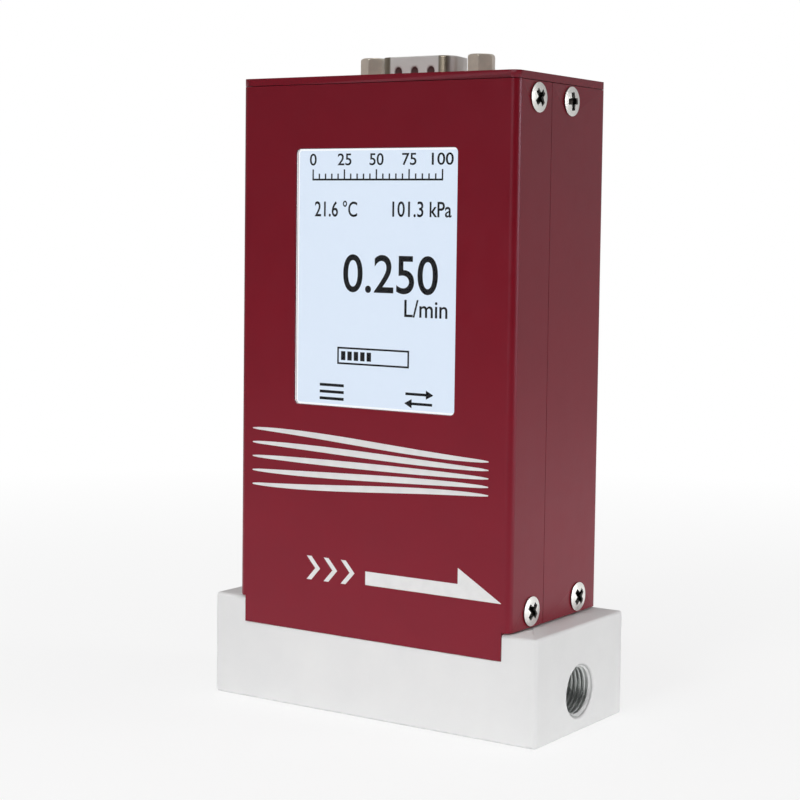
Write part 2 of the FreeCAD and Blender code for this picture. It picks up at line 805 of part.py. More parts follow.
def temperature_probe():
    """Thin closed tube that reaches into the upstream gas, with a collar on the manifold."""
    body = new_body("temperature_probe")
    drawing = sketch_on(body, "section", "XZ_Plane", across=-PROBE)
    tip = size("BoreHeight")
    radius = size("ProbeRadius")
    head = size("ProbeHeadRadius")
    top = MANIFOLD_TOP + size("ProbeHeadHeight")
    draw_outline(drawing, [
        (0, tip),
        (radius / 2, tip),
        (radius, tip + radius / 2),
        (radius, MANIFOLD_TOP),
        (head, MANIFOLD_TOP),
        (head, top),
        (radius / 2, top),
        (radius / 2, SENSOR_BOARD_BOTTOM),
        (0, SENSOR_BOARD_BOTTOM),
    ])
    turn(body, drawing, "V_Axis")
    return body


def draw_hexagon(drawing, across_flats, x=ZERO, y=ZERO):
    """Regular hexagon with two flats facing along Y."""
    half = across_flats / 2
    point = half * HEXAGON_CORNER_RATIO
    slant = half * HEXAGON_HALF_SIDE_RATIO
    draw_outline(drawing, [
        (x + point, y),
        (x + slant, y + half),
        (x - slant, y + half),
        (x - point, y),
        (x - slant, y - half),
        (x + slant, y - half),
    ])


def manifold_standoff():
    """Hexagonal pillar with a stud below and a tapped hole above."""
    body = new_body("manifold_standoff")
    drawing = sketch_on(body, "hexagon", "XY_Plane", MANIFOLD_TOP)
    draw_hexagon(drawing, size("StandoffWidth"))
    pad(body, drawing, size("SensorHeight"))
    stud = sketch_on(body, "stud", "XY_Plane", MANIFOLD_TOP)
    draw_circle(stud, 0, 0, size("StudRadius"))
    stud_length = size("ManifoldHeight") + size("GasketThickness") + size("StudDepth")
    pad(body, stud, stud_length, reverse=True)
    hole = sketch_on(body, "tapped_hole", "XY_Plane", SENSOR_BOARD_BOTTOM)
    draw_circle(hole, 0, 0, size("BoardScrewRadius") + size("ThreadGap"))
    pocket(body, hole, size("SensorHeight") - OVERSHOOT)
    return body


# Boards and what they carry

def board_plate(label, role, lift, outline, holes):
    """Board drawn with its holes in one sketch."""
    body = new_body(label)
    drawing = sketch_on(body, "board", role, lift)
    draw_rectangle(drawing, *outline)
    for x, y, radius in holes:
        draw_circle(drawing, x, y, radius)
    pad(body, drawing, size("BoardThickness"))
    return body


def sensor_board():
    half_x = MANIFOLD_LENGTH / 2 - size("SensorBoardMargin")
    half_y = size("ManifoldDepth") / 2
    hole = size("BoardScrewRadius") + size("BoardScrewGap")
    holes = [(x, y, hole) for x, y in corners_of(STUD_SPACING_X, STUD_SPACING_Y)]
    outline = (-half_x, -half_y, half_x, half_y)
    return board_plate("sensor_board", "XY_Plane", SENSOR_BOARD_BOTTOM, outline, holes)


def board_posts():
    places = corners_of(POST_SPACING_X, POST_SPACING_Z)
    return [(x, BOARD_CENTRE + z) for x, z in places]


def main_board():
    hole = size("BoardScrewRadius") + size("BoardScrewGap")
    holes = [(x, z, hole) for x, z in board_posts()]
    outline = (-BOARD_HALF, BOARD_BOTTOM, BOARD_HALF, BOARD_TOP)
    return board_plate("main_board", "XZ_Plane", -BOARD_BACK, outline, holes)


def connector_board():
    half = size("ConnectorBoardWidth") / 2
    holes = [(x, y, PIN_HOLE) for x, y in pin_places()]
    rear = CONNECTOR_BOARD_FRONT + size("ConnectorBoardDepth")
    outline = (-half, CONNECTOR_BOARD_FRONT, half, rear)
    return board_plate("connector_board", "XY_Plane", CONNECTOR_BOARD_BOTTOM, outline, holes)


def link_header():
    """Header block that joins the connector's board to the main board."""
    body = new_body("link_header")
    drawing = sketch_on(body, "block", "XY_Plane", CONNECTOR_BOARD_BOTTOM)
    half = size("HeaderWidth") / 2
    draw_rectangle(drawing, -half, BOARD_BACK, half, CONNECTOR_BOARD_FRONT)
    pad(body, drawing, size("HeaderHeight"))
    return body


def board_standoff():
    """Round post on the inside of the front cover, tapped from behind."""
    body = new_body("board_standoff")
    drawing = sketch_on(body, "post", "XZ_Plane", INSIDE_FRONT)
    draw_circle(drawing, 0, 0, size("BoardPostRadius"))
    draw_circle(drawing, 0, 0, size("BoardScrewRadius") + size("ThreadGap"))
    pad(body, drawing, INSIDE_FRONT + BOARD_FRONT, reverse=True)
    return body


def socket(label, role, lift, centre):
    """Flat-cable socket with a slot for the cable's end."""
    body = new_body(label)
    drawing = sketch_on(body, "case", role, lift)
    draw_centred(drawing, size("SocketLength"), size("SocketDepth"), ZERO, centre)
    height = size("SocketHeight")
    pad(body, drawing, height, reverse=role == "XZ_Plane")
    end = lift + height if role == "XY_Plane" else lift - height
    slot = sketch_on(body, "slot", role, end)
    gap = size("ThreadGap") * 2
    draw_centred(slot, size("CableWidth") + gap, size("CableThickness") + gap, ZERO, centre)
    pocket(body, slot, size("CableInset"), reverse=role == "XZ_Plane")
    return body


def sensor_cable():
    """Flat cable that rises from the sensor board and bends into the main board's socket."""
    body = new_body("sensor_cable")
    half = size("CableThickness") / 2
    rise = SENSOR_SOCKET
    level = MAIN_SOCKET
    start = SENSOR_BOARD_TOP + size("SocketHeight") - size("CableInset")
    end = BOARD_BACK + size("SocketHeight") - size("CableInset")
    drawing = sketch_on(body, "route", "YZ_Plane", -size("CableWidth") / 2)
    draw_outline(drawing, [
        (rise - half, start),
        (rise + half, start),
        (rise + half, level + half),
        (end, level + half),
        (end, level - half),
        (rise - half, level - half),
    ])
    pad(body, drawing, size("CableWidth"))
    across = Vector(1, 0, 0)

    def corner(side):
        def test(edge):
            middle = edge.CenterOfMass
            return (is_straight(edge, across) and near(middle.y, rise + half * side)
                    and near(middle.z, level + half * side))
        return test

    dress(body, "Fillet", "outer_bend", size("CableBend") + half, corner(1))
    dress(body, "Fillet", "inner_bend", size("CableBend") - half, corner(-1))
    return body


def microcontroller():
    body = new_body("microcontroller")
    drawing = sketch_on(body, "case", "XZ_Plane", -BOARD_BACK)
    draw_centred(drawing, size("ChipSize"), size("ChipSize"), ZERO, BOARD_BOTTOM + size("ChipPlace"))
    pad(body, drawing, size("ChipHeight"), reverse=True)
    top = BOARD_BACK + size("ChipHeight")
    dress(body, "Chamfer", "rim", size("ChipHeight") / 4, lambda edge: near(edge.CenterOfMass.y, top))
    return body


def power_module():
    body = new_body("power_module")
    drawing = sketch_on(body, "case", "XZ_Plane", -BOARD_BACK)
    length = size("PowerLength")
    draw_centred(drawing, length, length, POWER_PLACE, BOARD_BOTTOM + size("PowerPlace"))
    pad(body, drawing, size("PowerHeight"), reverse=True)
    along = Vector(0, 1, 0)
    dress(body, "Fillet", "corners", size("CaseEdgeRadius"), lambda edge: is_straight(edge, along))
    return body


def filter_capacitor():
    """Round can with a crimped waist, standing off the main board."""
    body = new_body("filter_capacitor")
    drawing = sketch_on(body, "section", "XY_Plane")
    radius, height, rim = size("CapacitorRadius"), size("CapacitorHeight"), size("CapacitorRim")
    draw_outline(drawing, [
        (0, 0),
        (radius, 0),
        (radius, rim * 2),
        (radius - rim, rim * 3),
        (radius, rim * 4),
        (radius, height - rim),
        (radius - rim, height),
        (0, height),
    ])
    turn(body, drawing, "V_Axis")
    place(body, -POWER_PLACE, BOARD_BACK, BOARD_BOTTOM + size("PowerPlace"))
    return body


# Display

def display_window():
    """Clear front pane, just behind the cover's face."""
    body = new_body("display_window")
    drawing = sketch_on(body, "glass", "XZ_Plane", GLASS_FRONT)
    gap = size("GlassGap") * 2
    draw_centred(drawing, WINDOW_WIDTH - gap, size("WindowHeight") - gap, WINDOW_SIDE, WINDOW_CENTRE)
    pad(body, drawing, size("GlassThickness"), reverse=True)
    along = Vector(0, 1, 0)
    radius = size("WindowCornerRadius") - size("GlassGap")
    dress(body, "Fillet", "corners", radius, lambda edge: is_straight(edge, along))
    return body


def display_module():
    """Pressed frame behind the cover, and the raised cell that fills the window under the pane."""
    body = new_body("display_module")
    along = Vector(0, 1, 0)
    frame = sketch_on(body, "frame", "XZ_Plane", -DISPLAY_FRONT)
    draw_centred(frame, DISPLAY_WIDTH, size("DisplayHeight"), WINDOW_SIDE, DISPLAY_CENTRE)
    pad(body, frame, size("DisplayThickness"), reverse=True)
    dress(body, "Fillet", "corners", size("CaseEdgeRadius"), lambda edge: is_straight(edge, along))
    cell = sketch_on(body, "cell", "XZ_Plane", -DISPLAY_FRONT)
    gap = size("GlassGap") * 4
    draw_centred(cell, WINDOW_WIDTH - gap, size("WindowHeight") - gap, WINDOW_SIDE, WINDOW_CENTRE)
    rise = GLASS_FRONT - size("GlassThickness") + DISPLAY_FRONT
    pad(body, cell, rise)
    front = DISPLAY_FRONT.number - rise.number / 2

    def cell_corner(edge):
        return is_straight(edge, along) and near(edge.CenterOfMass.y, front)

    dress(body, "Fillet", "cell_corners", size("WindowCornerRadius") - size("GlassGap") * 2, cell_corner)
    return body


def display_gasket():
    body = new_body("display_gasket")
    drawing = sketch_on(body, "frame", "XZ_Plane", INSIDE_FRONT)
    foam = size("FoamWidth") * 2
    width, height = WINDOW_WIDTH, size("WindowHeight")
    draw_centred(drawing, width, height, WINDOW_SIDE, WINDOW_CENTRE)
    draw_centred(drawing, width + foam, height + foam, WINDOW_SIDE, WINDOW_CENTRE)
    pad(body, drawing, size("FoamThickness"), reverse=True)
    return body


# Housing

def folded_cover(label, side, seam, upper_screw):
    """Sheet cover on one side, -1 in front and 1 behind: a panel, two flanges and a tab."""
    body = new_body(label)
    face, inner = HALF_DEPTH * side, INSIDE_FRONT * side
    channel = sketch_on(body, "channel", "XY_Plane", FLANGE_BOTTOM)
    draw_outline(channel, [
        (-HALF_HOUSING, seam),
        (-HALF_HOUSING, face),
        (HALF_HOUSING, face),
        (HALF_HOUSING, seam),
        (INSIDE_SIDE, seam),
        (INSIDE_SIDE, inner),
        (-INSIDE_SIDE, inner),
        (-INSIDE_SIDE, seam),
    ])
    pad(body, channel, COVER_TOP - FLANGE_BOTTOM)
    upright = Vector(0, 0, 1)

    def bend(y):
        return lambda edge: is_straight(edge, upright) and near(edge.CenterOfMass.y, y)

    dress(body, "Fillet", "outer_bends", size("BendRadius"), bend(face))
    dress(body, "Fillet", "inner_bends", size("BendRadius") - SHEET, bend(inner))

    tab = sketch_on(body, "tab", "XY_Plane", TAB_BOTTOM)
    low, high = (face, inner) if side < 0 else (inner, face)
    draw_rectangle(tab, -HALF_TAB, low, HALF_TAB, high)
    pad(body, tab, FLANGE_BOTTOM - TAB_BOTTOM)

    holes = sketch_on(body, "screw_holes", "YZ_Plane", HALF_HOUSING)
    clearance = size("ScrewRadius") + size("HeadGap")
    draw_circle(holes, upper_screw, UPPER_SCREW, clearance)
    draw_circle(holes, size("LowerScrewOffset") * side, LOWER_SCREW, clearance)
    sunk = size("HeadRadius") - size("HeadProud") + size("HeadGap")
    hole = countersink(body, holes, clearance, sunk, SHEET + OVERSHOOT)
    mirrored(body, [hole], "YZ_Plane")
    return body


def front_cover():
    seam = -(size("SeamPlace") + size("SeamGap") / 2)
    body = folded_cover("front_cover", -1, seam, -size("UpperScrewFront"))
    window = sketch_on(body, "window", "XZ_Plane", HALF_DEPTH)
    draw_centred(window, WINDOW_WIDTH, size("WindowHeight"), WINDOW_SIDE, WINDOW_CENTRE)
    pocket(body, window, SHEET)
    along = Vector(0, 1, 0)
    half = WINDOW_WIDTH / 2

    def window_corner(edge):
        return is_straight(edge, along) and near(abs(edge.CenterOfMass.x - WINDOW_SIDE.number), half)

    dress(body, "Fillet", "window_corners", size("WindowCornerRadius"), window_corner)
    return body


def rear_cover():
    seam = -(size("SeamPlace") - size("SeamGap") / 2)
    return folded_cover("rear_cover", 1, seam, size("UpperScrewRear"))


def draw_shell_outline(drawing, inset):
    """The connector's D: wide in front, narrow behind, moved in by the inset."""
    front, rear = size("ShellFrontWidth") / 2 - inset, size("ShellRearWidth") / 2 - inset
    half_depth = size("ShellDepth") / 2 - inset
    draw_outline(drawing, [
        (-front, CONNECTOR - half_depth),
        (front, CONNECTOR - half_depth),
        (rear, CONNECTOR + half_depth),
        (-rear, CONNECTOR + half_depth),
    ])


def is_shell_corner(inset, low, high):
    """Test for the upright edges at the D's four corners, between two heights."""
    front, rear = size("ShellFrontWidth") / 2 - inset, size("ShellRearWidth") / 2 - inset
    upright = Vector(0, 0, 1)

    def test(edge):
        middle = edge.CenterOfMass
        on_corner = near(abs(middle.x), front) or near(abs(middle.x), rear)
        within = low.number < middle.z < high.number
        return is_straight(edge, upright) and on_corner and within

    return test


def top_plate():
    """Plate with two integral rails beneath it that the upper cover screws bite into."""
    body = new_body("top_plate")
    plate = sketch_on(body, "plate", "XY_Plane", PLATE_BOTTOM)
    draw_centred(plate, size("HousingWidth"), size("HousingDepth"))
    pad(body, plate, size("TopPlateThickness"))
    upright = Vector(0, 0, 1)
    dress(body, "Fillet", "corners", size("BendRadius"), lambda edge: is_straight(edge, upright))

    rails = sketch_on(body, "rails", "XY_Plane", PLATE_BOTTOM)
    front = -(size("UpperScrewFront") + size("RailEndMargin"))
    rear = size("UpperScrewRear") + size("RailEndMargin")
    draw_rectangle(rails, RAIL_INNER, front, INSIDE_SIDE, rear)
    draw_rectangle(rails, -INSIDE_SIDE, front, -RAIL_INNER, rear)
    pad(body, rails, size("UpperRailHeight"), reverse=True)

    tapped = sketch_on(body, "tapped_holes", "YZ_Plane", INSIDE_SIDE)
    draw_circle(tapped, -size("UpperScrewFront"), UPPER_SCREW, TAPPED_RADIUS)
    draw_circle(tapped, size("UpperScrewRear"), UPPER_SCREW, TAPPED_RADIUS)
    cut = pocket(body, tapped, size("RailWidth"))
    mirrored(body, [cut], "YZ_Plane")

    opening = sketch_on(body, "connector_opening", "XY_Plane", PLATE_BOTTOM)
    draw_shell_outline(opening, -size("ShellGap"))
    pocket(body, opening, size("TopPlateThickness"), reverse=True)
    corner = is_shell_corner(-size("ShellGap"), PLATE_BOTTOM, size("HousingTop"))
    dress(body, "Fillet", "opening_corners", size("ShellCornerRadius") + size("ShellGap"), corner)
    jacks = sketch_on(body, "jackscrew_holes", "XY_Plane", PLATE_BOTTOM)
    for side in (-1, 1):
        draw_circle(jacks, size("JackSpacing") / 2 * side, CONNECTOR, size("JackHoleRadius"))
    pocket(body, jacks, size("TopPlateThickness"), reverse=True)
    return body


def cover_rail():
    """Bar on the block, tapped through its side for the lower cover screws."""
    body = new_body("cover_rail")
    half = size("LowerRailLength") / 2
    bar = sketch_on(body, "bar", "XY_Plane", BLOCK_TOP)
    draw_rectangle(bar, RAIL_INNER, -half, INSIDE_SIDE, half)
    pad(body, bar, size("LowerRailHeight"))
    tapped = sketch_on(body, "tapped_holes", "YZ_Plane", INSIDE_SIDE)
    for side in (-1, 1):
        draw_circle(tapped, size("LowerScrewOffset") * side, LOWER_SCREW, TAPPED_RADIUS)
    pocket(body, tapped, size("RailWidth"))
    sunk = sketch_on(body, "screw_holes", "XY_Plane", BLOCK_TOP + size("LowerRailHeight"))
    for x, y in rail_screw_places():
        if x.number > 0:
            draw_circle(sunk, x, y, size("ScrewRadius") + size("HeadGap"))
    clearance = size("ScrewRadius") + size("HeadGap")
    sunk_radius = size("HeadRadius") + size("HeadGap")
    countersink(body, sunk, clearance, sunk_radius, size("LowerRailHeight"))
    return body


# Screws, drawn with their axis along Z and the surface they sit in at Z 0

def cut_cross(body, top):
    """Cross recess: two slots at right angles, cut down from the head's top."""
    drawing = sketch_on(body, "cross", "XY_Plane", top)
    reach, half = size("CrossLength") / 2, size("CrossWidth") / 2
    draw_outline(drawing, [
        (-reach, -half), (-half, -half), (-half, -reach), (half, -reach),
        (half, -half), (reach, -half), (reach, half), (half, half),
        (half, reach), (-half, reach), (-half, half), (-reach, half),
    ])
    pocket(body, drawing, size("CrossDepth"))


def countersunk_screw(name, length, proud, crown):
    """Countersunk screw whose rim stands proud of the surface by one size and its crown by another."""
    body = new_body(name)
    section = sketch_on(body, "section", "XZ_Plane")
    radius, head = size("ScrewRadius"), size("HeadRadius")
    draw_outline(section, [
        (0, -length),
        (radius, -length),
        (radius, proud - (head - radius)),
        (head, proud),
        (0, proud + crown),
    ])
    turn(body, section, "V_Axis")
    cut_cross(body, proud + crown)
    return body


def pan_screw(name, length):
    body = new_body(name)
    section = sketch_on(body, "section", "XZ_Plane")
    radius, head, height = size("BoardScrewRadius"), size("PanHeadRadius"), size("PanHeadHeight")
    draw_outline(section, [
        (0, -length),
        (radius, -length),
        (radius, 0),
        (head, 0),
        (head, height),
        (0, height),
    ])
    turn(body, section, "V_Axis")
    cut_cross(body, height)
    return body


def hexagonal_jackscrew():
    """Screw lock: tapped hexagonal head above the plate, stud through it and the flange."""
    body = new_body("jackscrew")
    head = sketch_on(body, "head", "XY_Plane")
    draw_hexagon(head, size("JackAcrossFlats"))
    pad(body, head, size("JackHeight"))
    stud = sketch_on(body, "stud", "XY_Plane")
    draw_circle(stud, 0, 0, size("JackStudRadius"))
    pad(body, stud, size("JackStudLength"), reverse=True)
    bore = sketch_on(body, "bore", "XY_Plane", size("JackHeight"))
    draw_circle(bore, 0, 0, size("JackBoreRadius"))
    pocket(body, bore, size("JackBoreDepth"))
    return body


def jackscrew_nut():
    body = new_body("jackscrew_nut")
    drawing = sketch_on(body, "nut", "XY_Plane", -size("NutHeight"))
    draw_hexagon(drawing, size("NutAcrossFlats"))
    draw_circle(drawing, 0, 0, size("JackStudRadius") + size("ThreadGap"))
    pad(body, drawing, size("NutHeight"))
    return body


# Connector

def pin_places():
    """Five pins in the wide front row and four in the narrow rear row."""
    half_row = size("PinRowSpacing") / 2
    pitch = size("PinPitch")
    front = [(pitch * (index - 2), CONNECTOR - half_row) for index in range(5)]
    rear = [(pitch * (index - 1.5), CONNECTOR + half_row) for index in range(4)]
    return front + rear


def dsub_shell():
    """Pressed shell: flange under the plate and a D-shaped collar with dimples."""
    body = new_body("dsub_shell_outside")
    flange = sketch_on(body, "flange", "XY_Plane", FLANGE_UNDER)
    draw_centred(flange, FLANGE_WIDTH, size("FlangeDepth"), ZERO, CONNECTOR)
    for side in (-1, 1):
        draw_circle(flange, size("JackSpacing") / 2 * side, CONNECTOR, size("JackHoleRadius"))
    pad(body, flange, size("FlangeThickness"))
    collar = sketch_on(body, "collar", "XY_Plane", FLANGE_TOP)
    draw_shell_outline(collar, ZERO)
    pad(body, collar, SHELL_TOP - FLANGE_TOP)
    corner = is_shell_corner(ZERO, FLANGE_TOP, SHELL_TOP)
    dress(body, "Fillet", "collar_corners", size("ShellCornerRadius"), corner)

    dimple_top = SHELL_TOP - size("DimpleMargin")
    dimples = sketch_on(body, "dimples", "XY_Plane", dimple_top)
    offset = size("ShellDepth") / 2 + size("DimpleRadius") - size("DimpleDepth")
    for index in (-1, 0, 1):
        draw_circle(dimples, size("DimpleSpacing") * index, CONNECTOR - offset, size("DimpleRadius"))
    for index in (-0.5, 0.5):
        draw_circle(dimples, size("DimpleSpacing") * index, CONNECTOR + offset, size("DimpleRadius"))
    pocket(body, dimples, dimple_top - FLANGE_TOP)
    low, high = FLANGE_UNDER - OVERSHOOT, SHELL_TOP + OVERSHOOT
    hollow = shell_core("dsub_shell_hollow", size("ShellWall"), low, high)
    shell = doc.addObject("Part::Cut", "dsub_shell")
    shell.Base = body
    shell.Tool = hollow
    doc.recompute()
    return shell


def shell_core(name, inset, low, high):
    """Upright D with rounded corners that fits inside the collar."""
    body = new_body(name)
    outline = sketch_on(body, "outline", "XY_Plane", low)
    draw_shell_outline(outline, inset)
    pad(body, outline, high - low)
    corner = is_shell_corner(inset, low, high)
    dress(body, "Fillet", "corners", size("ShellCornerRadius") - inset, corner)
    return body


def dsub_insulator():
    """Insert that fills the shell's lower half and stands below its flange."""
    body = new_body("dsub_insulator")
    block = sketch_on(body, "block", "XY_Plane", INSULATOR_BOTTOM)
    draw_centred(block, size("InsulatorWidth"), size("InsulatorDepth"), ZERO, CONNECTOR)
    pad(body, block, size("InsulatorDrop"))
    boss = sketch_on(body, "boss", "XY_Plane", FLANGE_UNDER)
    inset = size("ShellWall") + size("PinGap")
    draw_shell_outline(boss, inset)
    pad(body, boss, INSULATOR_TOP - FLANGE_UNDER)
    corner = is_shell_corner(inset, FLANGE_UNDER, INSULATOR_TOP)
    dress(body, "Fillet", "boss_corners", size("ShellCornerRadius") - inset, corner)
    holes = sketch_on(body, "pin_holes", "XY_Plane", INSULATOR_BOTTOM)
    for x, y in pin_places():
        draw_circle(holes, x, y, PIN_HOLE)
    pocket(body, holes, INSULATOR_TOP - INSULATOR_BOTTOM + OVERSHOOT, reverse=True)
    return body


def dsub_pin():
    """Round contact, long enough to reach through its board."""
    body = new_body("dsub_pin")
    section = sketch_on(body, "section", "XY_Plane", CONNECTOR_BOARD_BOTTOM)
    draw_circle(section, 0, 0, size("PinRadius"))
    pad(body, section, SHELL_TOP - size("PinInset") - CONNECTOR_BOARD_BOTTOM)
    return body


# Placing and grouping

def place(thing, x, y, z, rotation=None):
    x, y, z = as_size(x), as_size(y), as_size(z)
    thing.Placement = Placement(Vector(x.number, y.number, z.number), rotation or Rotation())
    bind(thing, "Placement.Base.x", x)
    bind(thing, "Placement.Base.y", y)
    bind(thing, "Placement.Base.z", z)


def group(label, template, places):
    """Compound of copies of one piece; each place is x, y, z and a rotation."""
    copies = []
    for index, (x, y, z, rotation) in enumerate(places, 1):
        copy = doc.addObject("App::Link", f"{label}_{index}")
        copy.LinkedObject = template
        place(copy, x, y, z, rotation)
        copies.append(copy)
    compound = doc.addObject("Part::Compound", label)
    compound.Links = copies
    compound.Label = label
    return compound


def facing(direction, turn_angle=0):
    """Rotation that points a screw's head along a direction, after a turn about its own axis."""
    return Rotation(Vector(0, 0, 1), direction) * Rotation(Vector(0, 0, 1), turn_angle)


def side_screws(label, template, places, turns):
    """Screws through both side flanges: each place is (y, z), on the right and on the left."""
    spots = []
    for (y, z), turn_angle in zip(places, turns):
        spots.append((HALF_HOUSING, y, z, facing(Vector(1, 0, 0), turn_angle)))
        spots.append((-HALF_HOUSING, y, z, facing(Vector(-1, 0, 0), turn_angle + LEFT_SCREW_TURN)))
    return group(label, template, spots)


def build_groups():
    cover_screw = countersunk_screw("cover_screw", size("ScrewLength"), size("HeadProud"), size("HeadDome"))
    offset = size("LowerScrewOffset")
    front_places = [(-size("UpperScrewFront"), UPPER_SCREW), (-offset, LOWER_SCREW)]
    rear_places = [(size("UpperScrewRear"), UPPER_SCREW), (offset, LOWER_SCREW)]
    groups = [
        side_screws("front_cover_screws", cover_screw, front_places, FRONT_SCREW_TURNS),
        side_screws("rear_cover_screws", cover_screw, rear_places, REAR_SCREW_TURNS),
    ]
    half_turn = Rotation(Vector(0, 0, 1), 180)
    rails = [(0, 0, 0, Rotation()), (0, 0, 0, half_turn)]
    groups.append(group("cover_rails", cover_rail(), rails))
    rail_screw = countersunk_screw("rail_screw", size("RailScrewLength"), ZERO, ZERO)
    rail_top = BLOCK_TOP + size("LowerRailHeight")
    groups.append(group("rail_screws", rail_screw,
                        [(x, y, rail_top, Rotation()) for x, y in rail_screw_places()]))
    corners = corners_of(STUD_SPACING_X, STUD_SPACING_Y)
    groups.append(group("manifold_standoffs", manifold_standoff(),
                        [(x, y, 0, Rotation()) for x, y in corners]))
    sensor_screw = pan_screw("sensor_board_screw", size("BoardThickness") + size("SensorScrewReach"))
    groups.append(group("sensor_board_screws", sensor_screw,
                        [(x, y, SENSOR_BOARD_TOP, Rotation()) for x, y in corners]))
    groups.append(group("board_standoffs", board_standoff(),
                        [(x, 0, z, Rotation()) for x, z in board_posts()]))
    board_screw = pan_screw("board_screw", size("BoardThickness") + size("BoardScrewReach"))
    back = facing(Vector(0, 1, 0))
    groups.append(group("board_screws", board_screw,
                        [(x, BOARD_BACK, z, back) for x, z in board_posts()]))
    groups.append(group("sensor_port_seals", nozzle_seal("sensor_port_seal"),
                        [(x, 0, SEAL_LEVEL, Rotation()) for x in DIFFERENTIAL_PORTS]))
    groups.append(group("dsub_pins", dsub_pin(),
                        [(x, y, 0, Rotation()) for x, y in pin_places()]))
    half_jacks = size("JackSpacing") / 2
    locks = [(half_jacks * side, CONNECTOR, size("HousingTop"), Rotation(Vector(0, 0, 1), turn_angle))
             for side, turn_angle in zip((-1, 1), LOCK_TURNS)]
    groups.append(group("jackscrews", hexagonal_jackscrew(), locks))
    quarter_turn = Rotation(Vector(0, 0, 1), 90)
    groups.append(group("jackscrew_nuts", jackscrew_nut(),
                        [(half_jacks * side, CONNECTOR, FLANGE_UNDER, quarter_turn) for side in (-1, 1)]))
    return groups


def build_pieces():
    single = [
        flow_body(),
        laminar_flow_element(),
        element_seal(),
        element_retaining_ring(),
        port_filter("inlet_screen", -THREAD_END),
        port_filter("outlet_screen", FILTER_END),
        manifold_gasket(),
        sensor_manifold(),
        differential_pressure_sensor(),
        absolute_pressure_sensor(),
        absolute_sensor_seal(),
        temperature_probe(),
        sensor_board(),
        socket("sensor_board_socket", "XY_Plane", SENSOR_BOARD_TOP, SENSOR_SOCKET),
        sensor_cable(),
        socket("main_board_socket", "XZ_Plane", -BOARD_BACK, MAIN_SOCKET),
        main_board(),
        microcontroller(),
        power_module(),
        filter_capacitor(),
        display_window(),
        display_module(),
        display_gasket(),
        front_cover(),
        rear_cover(),
        top_plate(),
        connector_board(),
        link_header(),
        dsub_shell(),
        dsub_insulator(),
    ]
    return single + build_groups()


def check_document():
    doc.recompute()
    for thing in doc.Objects:
        if "Invalid" in thing.State or "Error" in thing.State:
            raise RuntimeError(f"{thing.Label} failed: {thing.State}")


def export(pieces):
    os.makedirs("parts", exist_ok=True)
    for piece in pieces:
        shape = piece.Shape
        if shape.isNull() or not shape.isValid():
            raise RuntimeError(f"{piece.Label} has no valid shape")
    for piece in pieces:
        piece.Shape.exportStep(f"parts/{piece.Label}.step")
        box = piece.Shape.BoundBox
        print(f"{piece.Label}: {len(piece.Shape.Solids)} solid(s), {piece.Shape.Volume:.1f} mm3,"
              f" z {box.ZMin:.2f} to {box.ZMax:.2f}")


pieces = build_pieces()
check_document()
export(pieces)
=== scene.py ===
# %% [markdown]
# A gas flow meter: a pale aluminium block with a threaded port at each end, a dark red housing of
# folded sheet on top of it, a lit display in front and a nine-way connector above.
# The measured solids come in first. Everything that is added here is placed from their boxes,
# so a change of the solids carries the finishes and the added pieces with it.

# %% Load the measured solids
import json
import math

import bmesh
import bpy
import numpy as np
from mathutils import Matrix, Vector


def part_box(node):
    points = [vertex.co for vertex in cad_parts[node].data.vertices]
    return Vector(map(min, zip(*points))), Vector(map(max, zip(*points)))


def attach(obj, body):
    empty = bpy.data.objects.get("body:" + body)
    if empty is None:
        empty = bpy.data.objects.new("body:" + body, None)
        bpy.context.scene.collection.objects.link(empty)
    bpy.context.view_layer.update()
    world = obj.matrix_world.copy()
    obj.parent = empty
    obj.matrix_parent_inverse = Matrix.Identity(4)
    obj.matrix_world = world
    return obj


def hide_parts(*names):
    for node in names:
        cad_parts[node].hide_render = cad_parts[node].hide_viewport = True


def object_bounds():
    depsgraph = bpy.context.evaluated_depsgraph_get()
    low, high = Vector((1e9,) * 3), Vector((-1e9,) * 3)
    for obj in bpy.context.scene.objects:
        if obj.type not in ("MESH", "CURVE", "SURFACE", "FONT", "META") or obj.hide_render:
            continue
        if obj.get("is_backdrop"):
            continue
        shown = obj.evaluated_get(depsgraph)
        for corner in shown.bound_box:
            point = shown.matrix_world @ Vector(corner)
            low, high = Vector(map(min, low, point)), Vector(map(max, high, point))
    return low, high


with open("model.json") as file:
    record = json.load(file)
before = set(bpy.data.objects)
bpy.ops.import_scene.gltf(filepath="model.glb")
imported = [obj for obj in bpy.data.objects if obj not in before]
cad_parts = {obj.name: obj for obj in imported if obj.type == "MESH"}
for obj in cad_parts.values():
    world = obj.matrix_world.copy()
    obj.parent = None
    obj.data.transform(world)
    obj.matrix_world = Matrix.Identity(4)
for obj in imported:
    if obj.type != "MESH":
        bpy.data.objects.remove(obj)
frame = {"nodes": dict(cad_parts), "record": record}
solid_low, solid_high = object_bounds()
MM = 0.001
print("solids", len(frame["nodes"]), "box in mm", [round(v / MM, 2) for v in (*solid_low, *solid_high)])


def box_mm(node):
    """Lowest and highest corner of a solid, in millimetres."""
    low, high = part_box(node)
    return np.array(low) / MM, np.array(high) / MM


# %% [markdown]
# Most new pieces are surfaces over a grid: each point is worked out from two parameters at once,
# as whole arrays. One helper turns such grids into a closed mesh. Where two grids meet, their
# doubled points are merged, and then the faces are turned outwards.

# %% Grids of points become one closed piece
def grid_of(x, y, z):
    """Points (x, y, z) from three arrays or numbers that fit each other."""
    return np.stack(np.broadcast_arrays(x, y, z), axis=-1)


